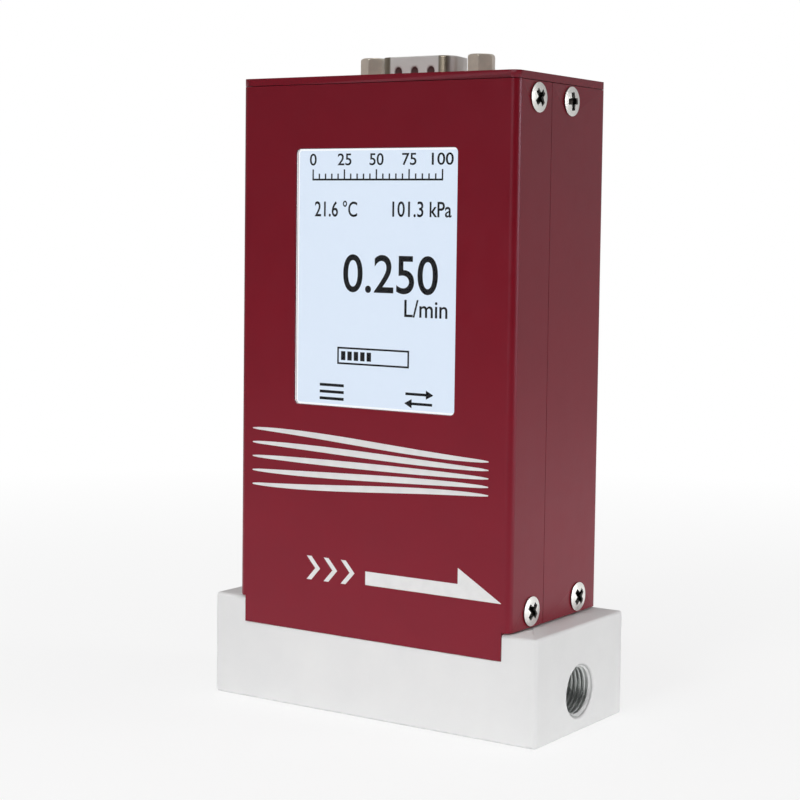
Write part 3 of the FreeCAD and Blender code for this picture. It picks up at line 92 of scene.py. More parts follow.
def grid_faces(rows, columns, start):
    """Four-cornered faces between neighbouring points of a grid whose numbers begin at start."""
    number = start + np.arange(rows * columns).reshape(rows, columns)
    corners = [number[:-1, :-1], number[:-1, 1:], number[1:, 1:], number[1:, :-1]]
    return np.stack(corners, axis=-1).reshape(-1, 4)


def settle_mesh(mesh, merge=0.001, crease=35):
    """Merges doubled points, drops faces of no area, turns the rest outwards and shades them smooth."""
    work = bmesh.new()
    work.from_mesh(mesh)
    bmesh.ops.remove_doubles(work, verts=work.verts, dist=merge * MM)
    bmesh.ops.dissolve_degenerate(work, edges=work.edges, dist=merge * MM / 10)
    bmesh.ops.recalc_face_normals(work, faces=work.faces)
    work.to_mesh(mesh)
    work.free()
    mesh.polygons.foreach_set("use_smooth", np.ones(len(mesh.polygons), bool))
    mesh.set_sharp_from_angle(angle=math.radians(crease))
    mesh.update()


def seat(name, mesh, finish, stands_for=()):
    """Puts a mesh into the scene on the meter's only body and its finish."""
    piece = bpy.data.objects.new(name, mesh)
    bpy.context.scene.collection.objects.link(piece)
    mesh.materials.clear()
    mesh.materials.append(finish)
    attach(piece, "root")
    if stands_for:
        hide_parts(*stands_for)
    print(f"{name}: {len(mesh.polygons)} faces")
    return piece


def mesh_from(name, grids, crease=35):
    """One mesh from several grids of points given in millimetres."""
    points, faces, start = [], [], 0
    for grid in grids:
        rows, columns = grid.shape[:2]
        points.append(grid.reshape(-1, 3) * MM)
        faces.append(grid_faces(rows, columns, start))
        start += rows * columns
    mesh = bpy.data.meshes.new(name)
    mesh.from_pydata(np.concatenate(points).tolist(), [], np.concatenate(faces).tolist())
    settle_mesh(mesh, crease=crease)
    return mesh


def points_mm(mesh):
    """The mesh's points as an array of rows (x, y, z) in millimetres."""
    points = np.empty(len(mesh.vertices) * 3, np.float32)
    mesh.vertices.foreach_get("co", points)
    return points.reshape(-1, 3).astype(float) / MM


def mark(mesh, name, values):
    """Stores one number for each point, which the mesh's finish can read."""
    attribute = mesh.attributes.new(name, "FLOAT", "POINT")
    attribute.data.foreach_set("value", np.asarray(values, np.float32))


def build(name, grids, finish, stands_for=(), crease=35):
    """A piece straight from its grids."""
    return seat(name, mesh_from(name, grids, crease), finish, stands_for)


# %% [markdown]
# Finishes are built from Blender's nodes, so they have real grain at any distance. Every pattern
# reads Object coordinates, which stay on the piece when it moves. Distances are given in
# millimetres and turned into the scale that a noise needs.

# %% Helpers for finishes
WAVE_SCALE = 0.31416  # one line per unit of length


def new_node(tree, kind, values=(), **links):
    """A node with some inputs set to values and others linked to sockets."""
    node = tree.nodes.new("ShaderNode" + kind)
    for label, value in dict(values).items():
        node.inputs[label].default_value = value
    for label, socket in links.items():
        tree.links.new(socket, node.inputs[label])
    return node


def ranged(tree, value, start, end, low, high, smooth=False):
    """Maps a value's range to another one, and holds it there."""
    limits = {"From Min": start, "From Max": end, "To Min": low, "To Max": high}
    node = new_node(tree, "MapRange", limits, Value=value)
    node.interpolation_type = "SMOOTHSTEP" if smooth else "LINEAR"
    return node.outputs["Result"]


class Finish:
    """A Principled material with short calls for grain, tint, roughness and relief."""

    def __init__(self, name, colour, roughness, metallic=0.0, **sockets):
        self.material = bpy.data.materials.new(name)
        self.material.use_nodes = True
        self.tree = self.material.node_tree
        self.shader = self.tree.nodes["Principled BSDF"]
        self.shader.inputs["Base Color"].default_value = (*colour, 1)
        self.shader.inputs["Roughness"].default_value = roughness
        self.shader.inputs["Metallic"].default_value = metallic
        for label, value in sockets.items():
            self.shader.inputs[label.replace("_", " ")].default_value = value
        self.place = new_node(self.tree, "TexCoord").outputs["Object"]
        self.relief = None

    def noise(self, size, detail=3.0, stretch=(1, 1, 1)):
        """Noise whose blobs are so many millimetres wide, and longer where the stretch is small."""
        place = new_node(self.tree, "Mapping", {"Scale": stretch}, Vector=self.place).outputs["Vector"]
        return new_node(self.tree, "TexNoise", {"Scale": 1 / (size * MM), "Detail": detail},
                        Vector=place).outputs["Fac"]

    def cells(self, size):
        """Distance to the nearest of many scattered grains."""
        return new_node(self.tree, "TexVoronoi", {"Scale": 1 / (size * MM)},
                        Vector=self.place).outputs["Distance"]

    def bands(self, size, direction="X", bend=0.0):
        """Soft parallel lines so many millimetres apart."""
        node = new_node(self.tree, "TexWave", {"Scale": WAVE_SCALE / (size * MM), "Distortion": bend},
                        Vector=self.place)
        node.bands_direction = direction
        return node.outputs["Fac"]

    def attribute(self, name):
        """A number that the mesh's points carry."""
        node = new_node(self.tree, "Attribute")
        node.attribute_name = name
        return node.outputs["Fac"]

    def drive(self, socket, factor, low, high, start=0.3, end=0.7):
        """A shader value that follows a pattern's middle range."""
        self.tree.links.new(ranged(self.tree, factor, start, end, low, high), self.shader.inputs[socket])

    def rough(self, factor, low, high, start=0.3, end=0.7):
        self.drive("Roughness", factor, low, high, start, end)

    def tint(self, factor, first, second, start=0.3, end=0.7, under=None, socket="Base Color"):
        """Colour that runs from the first one, or from what lies under it, to the second one."""
        mix = self.tree.nodes.new("ShaderNodeMix")
        mix.data_type = "RGBA"
        mix.inputs["A"].default_value = (*first, 1)
        mix.inputs["B"].default_value = (*second, 1)
        if under is not None:
            self.tree.links.new(under, mix.inputs["A"])
        self.tree.links.new(ranged(self.tree, factor, start, end, 0, 1), mix.inputs["Factor"])
        self.tree.links.new(mix.outputs["Result"], self.shader.inputs[socket])
        return mix.outputs["Result"]

    def raise_by(self, height, depth):
        """Relief: the pattern's full range is so many millimetres deep."""
        bump = new_node(self.tree, "Bump", {"Distance": depth * MM, "Strength": 1}, Height=height)
        if self.relief is not None:
            self.tree.links.new(self.relief, bump.inputs["Normal"])
        self.relief = bump.outputs["Normal"]
        self.tree.links.new(self.relief, self.shader.inputs["Normal"])


# %% [markdown]
# The housing is sheet metal with a fine satin paint. Such paint is smooth to the hand but not
# mirror-like: it has an orange-peel ripple a few tenths of a millimetre wide and a slight
# unevenness of colour over centimetres.

# %% Satin dark red paint
def satin_red():
    finish = Finish("satin_red_paint", (0.212, 0.0020, 0.0110), 0.32, Specular_IOR_Level=0.45,
                    Specular_Tint=(0.88, 0.82, 1.0, 1))
    finish.tint(finish.noise(14.0), (0.205, 0.0018, 0.0105), (0.219, 0.0022, 0.0116))
    finish.rough(finish.noise(3.0), 0.29, 0.36)
    finish.raise_by(finish.noise(0.42, 2.0), 0.008)
    finish.raise_by(finish.noise(0.12, 1.0), 0.002)
    return finish.material


red_paint = satin_red()


# %% [markdown]
# The block was blasted with fine beads before it was anodised. It scatters light nearly as chalk
# does, with a silky edge to its highlights, so it is only partly metallic here.

# %% Blasted and anodised aluminium
def blasted_aluminium():
    finish = Finish("blasted_aluminium", (0.82, 0.82, 0.82), 0.55, metallic=0.08)
    finish.tint(finish.noise(9.0), (0.795, 0.797, 0.800), (0.825, 0.826, 0.825))
    finish.rough(finish.noise(1.2), 0.48, 0.62)
    finish.raise_by(finish.cells(0.16), 0.008)
    finish.raise_by(finish.noise(0.35, 2.0), 0.005)
    return finish.material


block_aluminium = blasted_aluminium()


# %% [markdown]
# Small turned and pressed parts are plated. Each finish below has the marks of how its part was
# made: fine turning lines on the screws, and on the pressed shell faint drawing lines. The shell
# also has painted reflection on its bends, darker and more metallic, and painted shade in its dimples.

# %% Plated metals
def plated_nickel(name, colour, roughness, scratch):
    """Bright plating whose turning lines are about so many millimetres apart."""
    finish = Finish(name, colour, roughness, metallic=1.0)
    lines = finish.noise(scratch, 2.0, stretch=(1, 1, 0.12))
    finish.tint(finish.noise(2.5), [0.92 * part for part in colour], colour)
    finish.rough(lines, roughness - 0.07, roughness + 0.09)
    finish.raise_by(lines, 0.004)
    return finish


def tinned_shell_painted_shade():
    """Dull tin over pressed steel, with painted reflection on its bends (darker and more metallic) and
    painted shade in its dimples.
    """
    finish = Finish("tinned_shell_painted_shade", (0.88, 0.87, 0.84), 0.36)
    plain = finish.tint(finish.noise(2.5), (0.86, 0.85, 0.82), (0.91, 0.90, 0.87))
    painted_bend_reflection = finish.attribute("painted_bend_reflection")
    # Painted reflection: the bends are painted a darker, duller brown and made more metallic, standing in
    # for the dark room they mirror.
    bent = finish.tint(painted_bend_reflection, (0, 0, 0), (0.30, 0.26, 0.20), 0, 1, under=plain)
    # Painted shade: the dimples are painted dark red-brown, for the shade and the mirrored red plate inside
    # them.
    finish.tint(finish.attribute("dimple_painted_shade"), (0, 0, 0), (0.10, 0.045, 0.045), 0.2, 0.7, under=bent)
    finish.drive("Metallic", painted_bend_reflection, 0.22, 0.9, 0, 1)
    finish.rough(finish.noise(0.8), 0.32, 0.42)
    finish.raise_by(finish.noise(0.25, 2.0, stretch=(1, 1, 0.12)), 0.0008)
    return finish.material


connector_nickel = tinned_shell_painted_shade()
screw_steel = plated_nickel("plated_screw", (0.86, 0.84, 0.80), 0.34, 0.15).material


def gold_contacts():
    finish = Finish("gold_contact", (0.83, 0.62, 0.26), 0.25, metallic=1.0)
    finish.tint(finish.noise(0.8), (0.76, 0.55, 0.22), (0.86, 0.66, 0.30))
    finish.raise_by(finish.noise(0.12), 0.003)
    return finish.material


contact_gold = gold_contacts()


# %% [markdown]
# The pieces inside the housing keep the shapes of their solids. They still need finishes that a
# buyer of the part would recognise when the covers are off.

# %% Finishes of the pieces inside
def turned_metal(name, colour, roughness, pitch, axis):
    """Bare metal with the fine parallel lines of a lathe or a mill."""
    finish = Finish(name, colour, roughness, metallic=1.0)
    lines = finish.bands(pitch, axis, bend=1.5)
    finish.tint(finish.noise(3.0), [0.9 * part for part in colour], colour)
    finish.rough(lines, roughness - 0.05, roughness + 0.1, 0, 1)
    finish.raise_by(lines, 0.004)
    return finish.material


def moulded(name, colour, roughness, grain, depth=0.01):
    """Moulded plastic with an eroded, slightly uneven surface."""
    finish = Finish(name, colour, roughness)
    finish.tint(finish.noise(4.0), [0.88 * part for part in colour], colour)
    finish.rough(finish.noise(1.0), roughness - 0.06, roughness + 0.08)
    finish.raise_by(finish.noise(grain, 2.0), depth)
    return finish.material


def solder_mask():
    """Green varnish over copper tracks: a grid of soft lines stands a little above the board."""
    finish = Finish("solder_mask", (0.012, 0.085, 0.04), 0.32)
    across, along = finish.bands(1.27, "X", bend=3.0), finish.bands(1.27, "Z", bend=3.0)
    dark = finish.tint(across, (0.010, 0.070, 0.032), (0.018, 0.115, 0.052), 0.6, 0.9)
    finish.tint(along, (0, 0, 0), (0.018, 0.115, 0.052), 0.75, 0.95, under=dark)
    finish.raise_by(across, 0.02)
    finish.raise_by(along, 0.02)
    return finish.material


def open_foam():
    finish = Finish("closed_cell_foam", (0.02, 0.02, 0.022), 0.9)
    finish.tint(finish.cells(0.35), (0.012, 0.012, 0.013), (0.035, 0.035, 0.038), 0.1, 0.6)
    finish.raise_by(finish.cells(0.35), 0.08)
    return finish.material


inner_finishes = {
    "element_steel": turned_metal("turned_steel", (0.62, 0.61, 0.59), 0.32, 0.25, "X"),
    "seal_rubber": moulded("black_rubber", (0.018, 0.018, 0.019), 0.62, 0.2),
    "foam": open_foam(),
    "manifold_aluminium": turned_metal("milled_aluminium", (0.76, 0.77, 0.78), 0.36, 0.8, "Y"),
    "sensor_case": moulded("sensor_case", (0.03, 0.03, 0.033), 0.5, 0.25),
    "sensor_can": turned_metal("drawn_can", (0.66, 0.66, 0.65), 0.28, 0.2, "Z"),
    "board": solder_mask(),
    "chip": moulded("moulded_epoxy", (0.016, 0.016, 0.018), 0.42, 0.12),
    "socket_plastic": moulded("natural_nylon", (0.72, 0.69, 0.60), 0.45, 0.3),
    "cable": moulded("white_film", (0.80, 0.80, 0.79), 0.35, 0.6, 0.02),
    "capacitor_can": turned_metal("capacitor_can", (0.74, 0.75, 0.77), 0.3, 0.3, "Y"),
    "brass_post": turned_metal("turned_brass", (0.72, 0.50, 0.22), 0.3, 0.3, "Z"),
    "insulator": moulded("black_insulator", (0.014, 0.014, 0.016), 0.46, 0.3, 0.015),
    "display_screen": moulded("pressed_frame", (0.55, 0.55, 0.56), 0.4, 0.5, 0.004),
    "contact_gold": contact_gold,
    "connector_nickel": connector_nickel,
    "screw_steel": screw_steel,
    "block_aluminium": block_aluminium,
    "red_cover": red_paint,
}
slot_of = {part["node"]: part["material_slot"] for part in frame["record"]["subparts"]}
print("finishes", len(inner_finishes), "for", len(slot_of), "solids")


# %% [markdown]
# The block, the two folded covers and the top plate already have their exact shapes, bends
# and holes in the solids. A solid's own mesh is loose triangles, so a merged copy is used: its
# bends then shade smoothly, and weighted normals keep the broad faces flat.

# %% Merged copies of the measured solids
def smooth_copy(name, node, finish, change=None):
    """A merged copy of a solid's mesh that stands for it, with its points changed if asked."""
    mesh = frame["nodes"][node].data.copy()
    mesh.name = name
    if change is not None:
        points = change(points_mm(mesh)) * MM
        mesh.vertices.foreach_set("co", points.astype(np.float32).ravel())
    settle_mesh(mesh)
    piece = seat(name, mesh, finish, (node,))
    flatten = piece.modifiers.new("flat_broad_faces", "WEIGHTED_NORMAL")
    flatten.keep_sharp = True
    flatten.weight = 90
    return piece


PRINT_DEPTH = 0.03
front_face = box_mm("front_cover")[0][1]


def room_for_print(points):
    """Moves the front face in by the thickness of the print, which then ends flush."""
    points[:, 1] = np.maximum(points[:, 1], front_face + PRINT_DEPTH)
    return points


smooth_copy("base_block", "flow_body", block_aluminium)
smooth_copy("front_cover_sheet", "front_cover", red_paint, room_for_print)
smooth_copy("rear_cover_sheet", "rear_cover", red_paint)
smooth_copy("top_plate_sheet", "top_plate", red_paint)
smooth_copy("connector_insert", "dsub_insulator", inner_finishes["insulator"])


# %% [markdown]
# Each port has a pipe thread, cut after the blasting, so its metal is bare and darker than the
# block. A rounded pipe thread is very nearly a sine wave. The lining's rows follow the helix,
# which keeps the crests clean, and the chamfer's cone goes on over the first turn and cuts it.
# That cone is bright, and a mark on its points tells the finish where it is.

# %% Threads in the two ports
PITCH = 0.907
WALL_RADIUS = 4.865
VALLEY_RADIUS = 4.85
CREST_RADIUS = 4.283
CHAMFER = 0.5
LINING_END = 8.7
LINING_BACK = 5.25
PORT_HEIGHT = 7.55
ROWS_PER_TURN = 12
AROUND = 96
LEAD_END = 1.3
ON_CONE = 0.03


def thread_lining(mouth, inward):
    """Depth = pitch x (row + angle / full turn), held between the chamfer and the end.

    Radius = middle + half the ridge x cos(the row's share of a turn), but never inside the cone
    that goes on from the chamfer, nor inside a second cone that ends the thread.
    """
    angle = np.linspace(0, 2 * math.pi, AROUND + 1)[None, :]
    turns = (LINING_END - CHAMFER) / PITCH
    row = np.arange(-ROWS_PER_TURN, int(turns * ROWS_PER_TURN) + 2)[:, None] / ROWS_PER_TURN
    depth = np.clip(CHAMFER + PITCH * (row + angle / (2 * math.pi)), CHAMFER, LINING_END)
    middle, half = (VALLEY_RADIUS + CREST_RADIUS) / 2, (VALLEY_RADIUS - CREST_RADIUS) / 2
    wave = middle - half * np.cos(2 * math.pi * row) + 0 * angle
    cone = WALL_RADIUS + CHAMFER - depth
    last = WALL_RADIUS - (LINING_END - depth)
    radius = np.maximum(wave, np.maximum(cone, last))
    ends = np.array([(LINING_END, LINING_BACK), (CHAMFER + 0.5, LINING_BACK), (CHAMFER, WALL_RADIUS)])
    depth = np.concatenate([depth, ends[:, :1] + 0 * angle])
    radius = np.concatenate([radius, ends[:, 1:] + 0 * angle])
    return grid_of(mouth + inward * depth, radius * np.sin(angle), PORT_HEIGHT + radius * np.cos(angle))


def cut_aluminium():
    """Cut metal: bright and silky on the lead-in cone, bare and darker with faint rings on the thread."""
    finish = Finish("tapped_aluminium", (0.66, 0.68, 0.67), 0.34)
    lead = finish.attribute("lead_in")
    bare = finish.tint(finish.noise(1.5), (0.54, 0.56, 0.55), (0.70, 0.72, 0.71))
    finish.tint(lead, (0, 0, 0), (0.90, 0.90, 0.90), 0.3, 0.7, under=bare)
    finish.drive("Metallic", lead, 0.96, 0.25)
    finish.rough(finish.noise(0.5), 0.30, 0.42)
    finish.raise_by(finish.noise(0.10, 2.0, stretch=(1, 0.1, 0.1)), 0.004)
    return finish.material


tapped_metal = cut_aluminium()
port_face = box_mm("flow_body")[1][0]
for side, label in ((-1, "inlet_thread"), (1, "outlet_thread")):
    mouth = port_face * side
    mesh = mesh_from(label, [thread_lining(mouth, -side)], crease=40)
    points = points_mm(mesh)
    depth = np.abs(points[:, 0] - mouth)
    radius = np.hypot(points[:, 1], points[:, 2] - PORT_HEIGHT)
    on_cone = np.abs(radius + depth - WALL_RADIUS - CHAMFER) < ON_CONE
    mark(mesh, "lead_in", on_cone & (depth < LEAD_END))
    seat(label, mesh, tapped_metal)


# %% [markdown]
# The cover screws have raised heads with a cross recess. A head's top is a height over a square
# grid that is bent into a disc, because then the recess has straight, sharp walls along grid
# lines. The grid's border is carried down the cone and the shank, so the piece is closed. The
# recess is painted nearly black as painted shade, because its points carry a mark.

# %% Cover screws with cross recesses
HEAD_RADIUS = 2.75
HEAD_RIM = 0.24
HEAD_CROWN = 0.34
SHANK_RADIUS = 1.5
SHANK_LENGTH = 6.0
CROSS_REACH = 1.62
CROSS_HALF_WIDTH = 0.56
CROSS_DEPTH = 1.5
WALL_WIDTH = 0.05
CONE_FOOT = HEAD_RIM - 1.3
TIP_RADIUS = 1.1


def disc_from_square(u, v, radius):
    """Square to disc: each side is bent outwards until it lies on the circle."""
    return radius * u * np.sqrt(1 - v * v / 2), radius * v * np.sqrt(1 - u * u / 2)


def recess_lines():
    """Grid lines from -1 to 1, with two close ones at each wall of the recess."""
    walls = np.array([CROSS_HALF_WIDTH, CROSS_REACH]) / HEAD_RADIUS * 1.02
    marks = np.concatenate([walls, walls + WALL_WIDTH / HEAD_RADIUS])
    even = np.linspace(0, 1, 9)
    half = np.unique(np.round(np.concatenate([even, marks]), 4))
    return np.concatenate([-half[::-1], half[1:]])


def in_cross(u, v):
    """True inside either arm of the cross."""
    arm, reach = CROSS_HALF_WIDTH / HEAD_RADIUS * 1.03, CROSS_REACH / HEAD_RADIUS * 1.03
    wide, high = np.abs(u), np.abs(v)
    return ((wide < arm) & (high < reach)) | ((high < arm) & (wide < reach))


def border_of(grid):
    """The grid's border as one closed ring of points."""
    return np.concatenate([grid[0, :-1], grid[:-1, -1], grid[-1, :0:-1], grid[:0:-1, 0], grid[:1, 0]])


def screw_grids():
    """Screw about Z with its seat at 0: crowned top, recess, cone, shank and its flat end."""
    line = recess_lines()
    u, v = np.meshgrid(line, line)
    x, y = disc_from_square(u, v, HEAD_RADIUS)
    reach = np.hypot(x, y) / HEAD_RADIUS
    top = HEAD_RIM + HEAD_CROWN * (1 - reach ** 2)
    floor = top - CROSS_DEPTH * (1 - 0.45 * reach * HEAD_RADIUS / CROSS_REACH)
    head = grid_of(x, y, np.where(in_cross(u, v), floor, top))
    ring = border_of(head)
    shank, tip = SHANK_RADIUS / HEAD_RADIUS, TIP_RADIUS / HEAD_RADIUS
    steps = [(1, HEAD_RIM), (0.985, HEAD_RIM - 0.12), (shank, CONE_FOOT),
             (shank, 0.5 - SHANK_LENGTH), (tip, -SHANK_LENGTH)]
    skirt = np.stack([grid_of(ring[:, 0] * scale, ring[:, 1] * scale, level) for scale, level in steps])
    return [head, skirt, grid_of(*disc_from_square(u, v, TIP_RADIUS), -SHANK_LENGTH)]


def turned_to(grid, side, turn, y, z, face):
    """A screw about Z turned about itself, laid along X and moved to its hole."""
    c, s = math.cos(turn), math.sin(turn)
    across, up = c * grid[..., 0] - s * grid[..., 1], s * grid[..., 0] + c * grid[..., 1]
    return grid_of(side * (face + grid[..., 2]), y + side * across, z + up)


def plating_with_painted_recess_shade():
    """The same plating, with painted shade: nearly black where the mark says that the recess is."""
    finish = plated_nickel("plated_head_painted_recess_shade", (0.88, 0.87, 0.84), 0.38, 0.15)
    plain = finish.tint(finish.noise(1.5), (0.80, 0.79, 0.76), (0.90, 0.89, 0.86))
    # Painted shade: the recess is painted nearly black.
    finish.tint(finish.attribute("recess"), (0, 0, 0), (0.02, 0.018, 0.016), 0.4, 0.6, under=plain)
    return finish.material


head_finish = plating_with_painted_recess_shade()
housing_face = box_mm("rear_cover")[1][0]


def cover_screws(name, node, spots):
    """Four screws, right and left, in one piece. A spot is its (y, z) and the turn of its cross."""
    grids = []
    for (y, z), turn in spots:
        for side in (1, -1):
            grids += [turned_to(grid, side, turn, y, z, housing_face) for grid in screw_grids()]
    mesh = mesh_from(name, grids, crease=30)
    points = points_mm(mesh)
    out = np.abs(points[:, 0]) - housing_face
    inside = np.zeros(len(points), bool)
    for (y, z), turn in spots:
        away = np.hypot(points[:, 1] - y, points[:, 2] - z)
        crown = HEAD_RIM + HEAD_CROWN * (1 - (away / HEAD_RADIUS) ** 2)
        inside |= (away < CROSS_REACH * 1.08) & (out < crown - 0.2) & (out > -CROSS_DEPTH)
    # The recess mark tells the finish where to paint the shade of the recess.
    mark(mesh, "recess", inside)
    return seat(name, mesh, head_finish, (node,))


UPPER_FRONT, LOWER_FRONT = (-9.2, 117.6), (-8.7, 23.45)
UPPER_REAR, LOWER_REAR = (2.8, 117.6), (8.7, 23.45)
QUARTER = math.pi / 4
cover_screws("front_cover_fixings", "front_cover_screws",
             [(UPPER_FRONT, QUARTER * 0.9), (LOWER_FRONT, QUARTER * 1.1)])
cover_screws("rear_cover_fixings", "rear_cover_screws",
             [(UPPER_REAR, QUARTER * 0.1), (LOWER_REAR, QUARTER * 0.95)])


# %% [markdown]
# The connector's shell is one pressed strip: a D-shaped collar with a rolled lip, a flange under
# the plate, and dimples that grip the plug. The D is a path, and the wall's profile is carried
# along it. The dimples are smooth dents, worked out from the place along the path and the height.

# %% Shell of the connector
shell_low, shell_high = box_mm("dsub_shell")
plate_top = box_mm("top_plate")[1][2]
CONNECTOR_Y = (shell_low[1] + shell_high[1]) / 2
SHELL_TOP = shell_high[2]
FRONT_WIDTH = 17.4
REAR_WIDTH = 14.2
SHELL_DEPTH = 8.9
SHELL_CORNER = 2.4
SHELL_WALL = 0.5
FLANGE_CORNER = 1.0
DIMPLE_PITCH = 3.77
DIMPLE_RADIUS = 0.88
DIMPLE_DEPTH = 0.42
DIMPLE_TOP = SHELL_TOP - 1.95


def rounded_path(corners, radius, steps=10, straight=24):
    """Closed path through the corners, each one turned into an arc, with points along the runs too.

    At a corner the arc's centre lies on the bisector, at radius / sin(half the corner's angle).
    Gives the points and the outward direction at each of them.
    """
    points, outwards = [], []
    count = len(corners)
    corners = np.array(corners, float)
    arcs = []
    for i in range(count):
        before, here, after = corners[i - 1], corners[i], corners[(i + 1) % count]
        a = (before - here) / np.linalg.norm(before - here)
        b = (after - here) / np.linalg.norm(after - here)
        middle = (a + b) / np.linalg.norm(a + b)
        half = math.acos(np.clip(a @ b, -1, 1)) / 2
        centre = here + middle * radius / math.sin(half)
        first, last = here + a * radius / math.tan(half), here + b * radius / math.tan(half)
        start = math.atan2(*(first - centre)[::-1])
        sweep = (math.atan2(*(last - centre)[::-1]) - start + math.pi) % (2 * math.pi) - math.pi
        angle = start + sweep * np.linspace(0, 1, steps)
        arcs.append((centre, angle))
    for i, (centre, angle) in enumerate(arcs):
        direction = np.stack([np.cos(angle), np.sin(angle)], -1)
        points.append(centre + radius * direction)
        outwards.append(direction)
        next_centre, next_angle = arcs[(i + 1) % count]
        first = points[-1][-1]
        last = next_centre + radius * np.array([math.cos(next_angle[0]), math.sin(next_angle[0])])
        share = np.linspace(0, 1, straight + 2)[1:-1, None]
        points.append(first + (last - first) * share)
        outwards.append(np.repeat(direction[-1:], straight, axis=0))
    points, outwards = np.concatenate(points), np.concatenate(outwards)
    return np.concatenate([points, points[:1]]), np.concatenate([outwards, outwards[:1]])


def rectangle(half_width, half_height):
    """Corners of a rectangle about the middle, in order."""
    return [(-half_width, -half_height), (half_width, -half_height),
            (half_width, half_height), (-half_width, half_height)]


def d_path():
    """The connector's D: its wide side is in front."""
    front, rear, half = FRONT_WIDTH / 2, REAR_WIDTH / 2, SHELL_DEPTH / 2
    corners = [(-front, -half), (front, -half), (rear, half), (-rear, half)]
    return rounded_path(corners, SHELL_CORNER, straight=64)


def dents(x, y, height):
    """Three dimples in front and two behind, arched at the top and open below.

    Depth = full depth / (1 + e to the power of 22 x (distance / radius - 0.92)).
    """
    depth = np.zeros(np.broadcast(x, height).shape)
    for steps, front in (((-1, 0, 1), True), ((-0.5, 0.5), False)):
        on_side = (y < 0) if front else (y > 0)
        for step in steps:
            across = x - DIMPLE_PITCH * step
            above = np.maximum(height - (DIMPLE_TOP - DIMPLE_RADIUS), 0)
            away = np.hypot(across, above) / DIMPLE_RADIUS
            depth = np.maximum(depth, np.where(on_side, 1 / (1 + np.exp((away - 0.92) * 22)), 0))
    return DIMPLE_DEPTH * depth


def shell_grid():
    """D-shaped path with the wall's profile carried along it: out at the lip, in at the dimples."""
    path, outward = d_path()
    heights = np.linspace(shell_low[2] + 0.6, SHELL_TOP - 0.3, 26)
    lip = [(0, SHELL_TOP - 0.12), (-0.08, SHELL_TOP - 0.02), (-SHELL_WALL / 2, SHELL_TOP),
           (0.08 - SHELL_WALL, SHELL_TOP - 0.02), (-SHELL_WALL, SHELL_TOP - 0.12)]
    profile = [(0, z) for z in heights] + lip + [(-SHELL_WALL, z) for z in heights[::-1]]
    offset, height = np.array(profile).T[:, :, None]
    shift = offset - dents(path[:, 0], path[:, 1], height)
    x = path[:, 0] + outward[:, 0] * shift
    y = CONNECTOR_Y + path[:, 1] + outward[:, 1] * shift
    wall = grid_of(x, y, height)
    flange = rectangle((shell_high[0] - shell_low[0]) / 2, (shell_high[1] - shell_low[1]) / 2)
    edge, _ = rounded_path(flange, FLANGE_CORNER, straight=64)
    inner = grid_of(wall[-1, :, 0], wall[-1, :, 1], shell_low[2])
    low = grid_of(edge[:, 0], CONNECTOR_Y + edge[:, 1], shell_low[2])
    high = low + np.array([0, 0, 0.6])
    return np.concatenate([wall, inner[None], low[None], high[None], wall[:1]])


def shell_marks(mesh):
    """Marks the bends and the dimples by the nearest point of the path, where the finish paints a dark
    reflection and shade.

    Bend = how fast the outward direction turns there, fading out where it faces right or left.
    """
    path, outward = d_path()
    points = points_mm(mesh)
    across, deep = points[:, 0, None] - path[:, 0], points[:, 1, None] - CONNECTOR_Y - path[:, 1]
    nearest = np.argmin(across ** 2 + deep ** 2, axis=1)
    turning = np.linalg.norm(np.roll(outward, -2, axis=0) - np.roll(outward, 2, axis=0), axis=1)
    facing = np.clip((0.85 - np.abs(outward[:, 0])) / 0.25, 0, 1)
    bend = np.clip(turning / 0.3, 0, 1) * facing
    collar = points[:, 2] > plate_top - 0.2
    # These marks carry painted reflection on the bends and painted shade in the dimples.
    mark(mesh, "painted_bend_reflection", bend[nearest] * collar)
    mark(mesh, "dimple_painted_shade", dents(path[nearest, 0], path[nearest, 1], points[:, 2]) / DIMPLE_DEPTH * collar)


shell_mesh = mesh_from("connector_collar", [shell_grid()], crease=50)
shell_marks(shell_mesh)
seat("connector_collar", shell_mesh, connector_nickel, ("dsub_shell",))


# %% [markdown]
# Nine turned contact pins with round noses stand inside the collar: one profile, turned once and
# set down at nine places.

# %% Contact pins
pins_low, pins_high = box_mm("dsub_pins")
PIN_RADIUS = 0.5
PIN_PITCH = 2.77
ROW_SPACING = 2.84


def turned_profile(profile, sides):
    """Profile of (radius, height) pairs turned about Z: x = radius cos, y = radius sin."""
    radius, height = np.array(profile).T[:, :, None]
    angle = np.linspace(0, 2 * math.pi, sides + 1)
    return grid_of(radius * np.cos(angle), radius * np.sin(angle), height)


def pin_spots():
    """Five places in the front row and four in the rear one."""
    front = [(PIN_PITCH * (i - 2), CONNECTOR_Y - ROW_SPACING / 2) for i in range(5)]
    rear = [(PIN_PITCH * (i - 1.5), CONNECTOR_Y + ROW_SPACING / 2) for i in range(4)]
    return front + rear


nose = [(PIN_RADIUS * math.cos(a), pins_high[2] - PIN_RADIUS * 1.4 * (1 - math.sin(a)))
        for a in np.linspace(0, math.pi / 2, 7)]
pin = turned_profile([(0, pins_low[2]), (PIN_RADIUS, pins_low[2])] + nose, 20)
pin_grids = [pin + np.array([x, y, 0]) for x, y in pin_spots()]
build("contact_pins", pin_grids, contact_gold, ("dsub_pins",))


# %% [markdown]
# A hexagonal screw lock stands on each side of the shell. The hexagon's corners are cut by a
# cone at the top, so the radius at each angle is the smaller of two: the hexagon's and the cone's.
# Its bore has ridges for the plug's screw, and the two locks are turned as the photo shows.

# %% Screw locks beside the shell
jack_low, jack_high = box_mm("jackscrews")
JACK_SPACING = 24.99
JACK_FLATS = 4.76
JACK_TURNS = {-1: math.radians(8), 1: math.radians(20)}
JACK_BORE = 1.2
JACK_STUD = 1.42
JACK_RIDGES = 10
BEYOND = 9


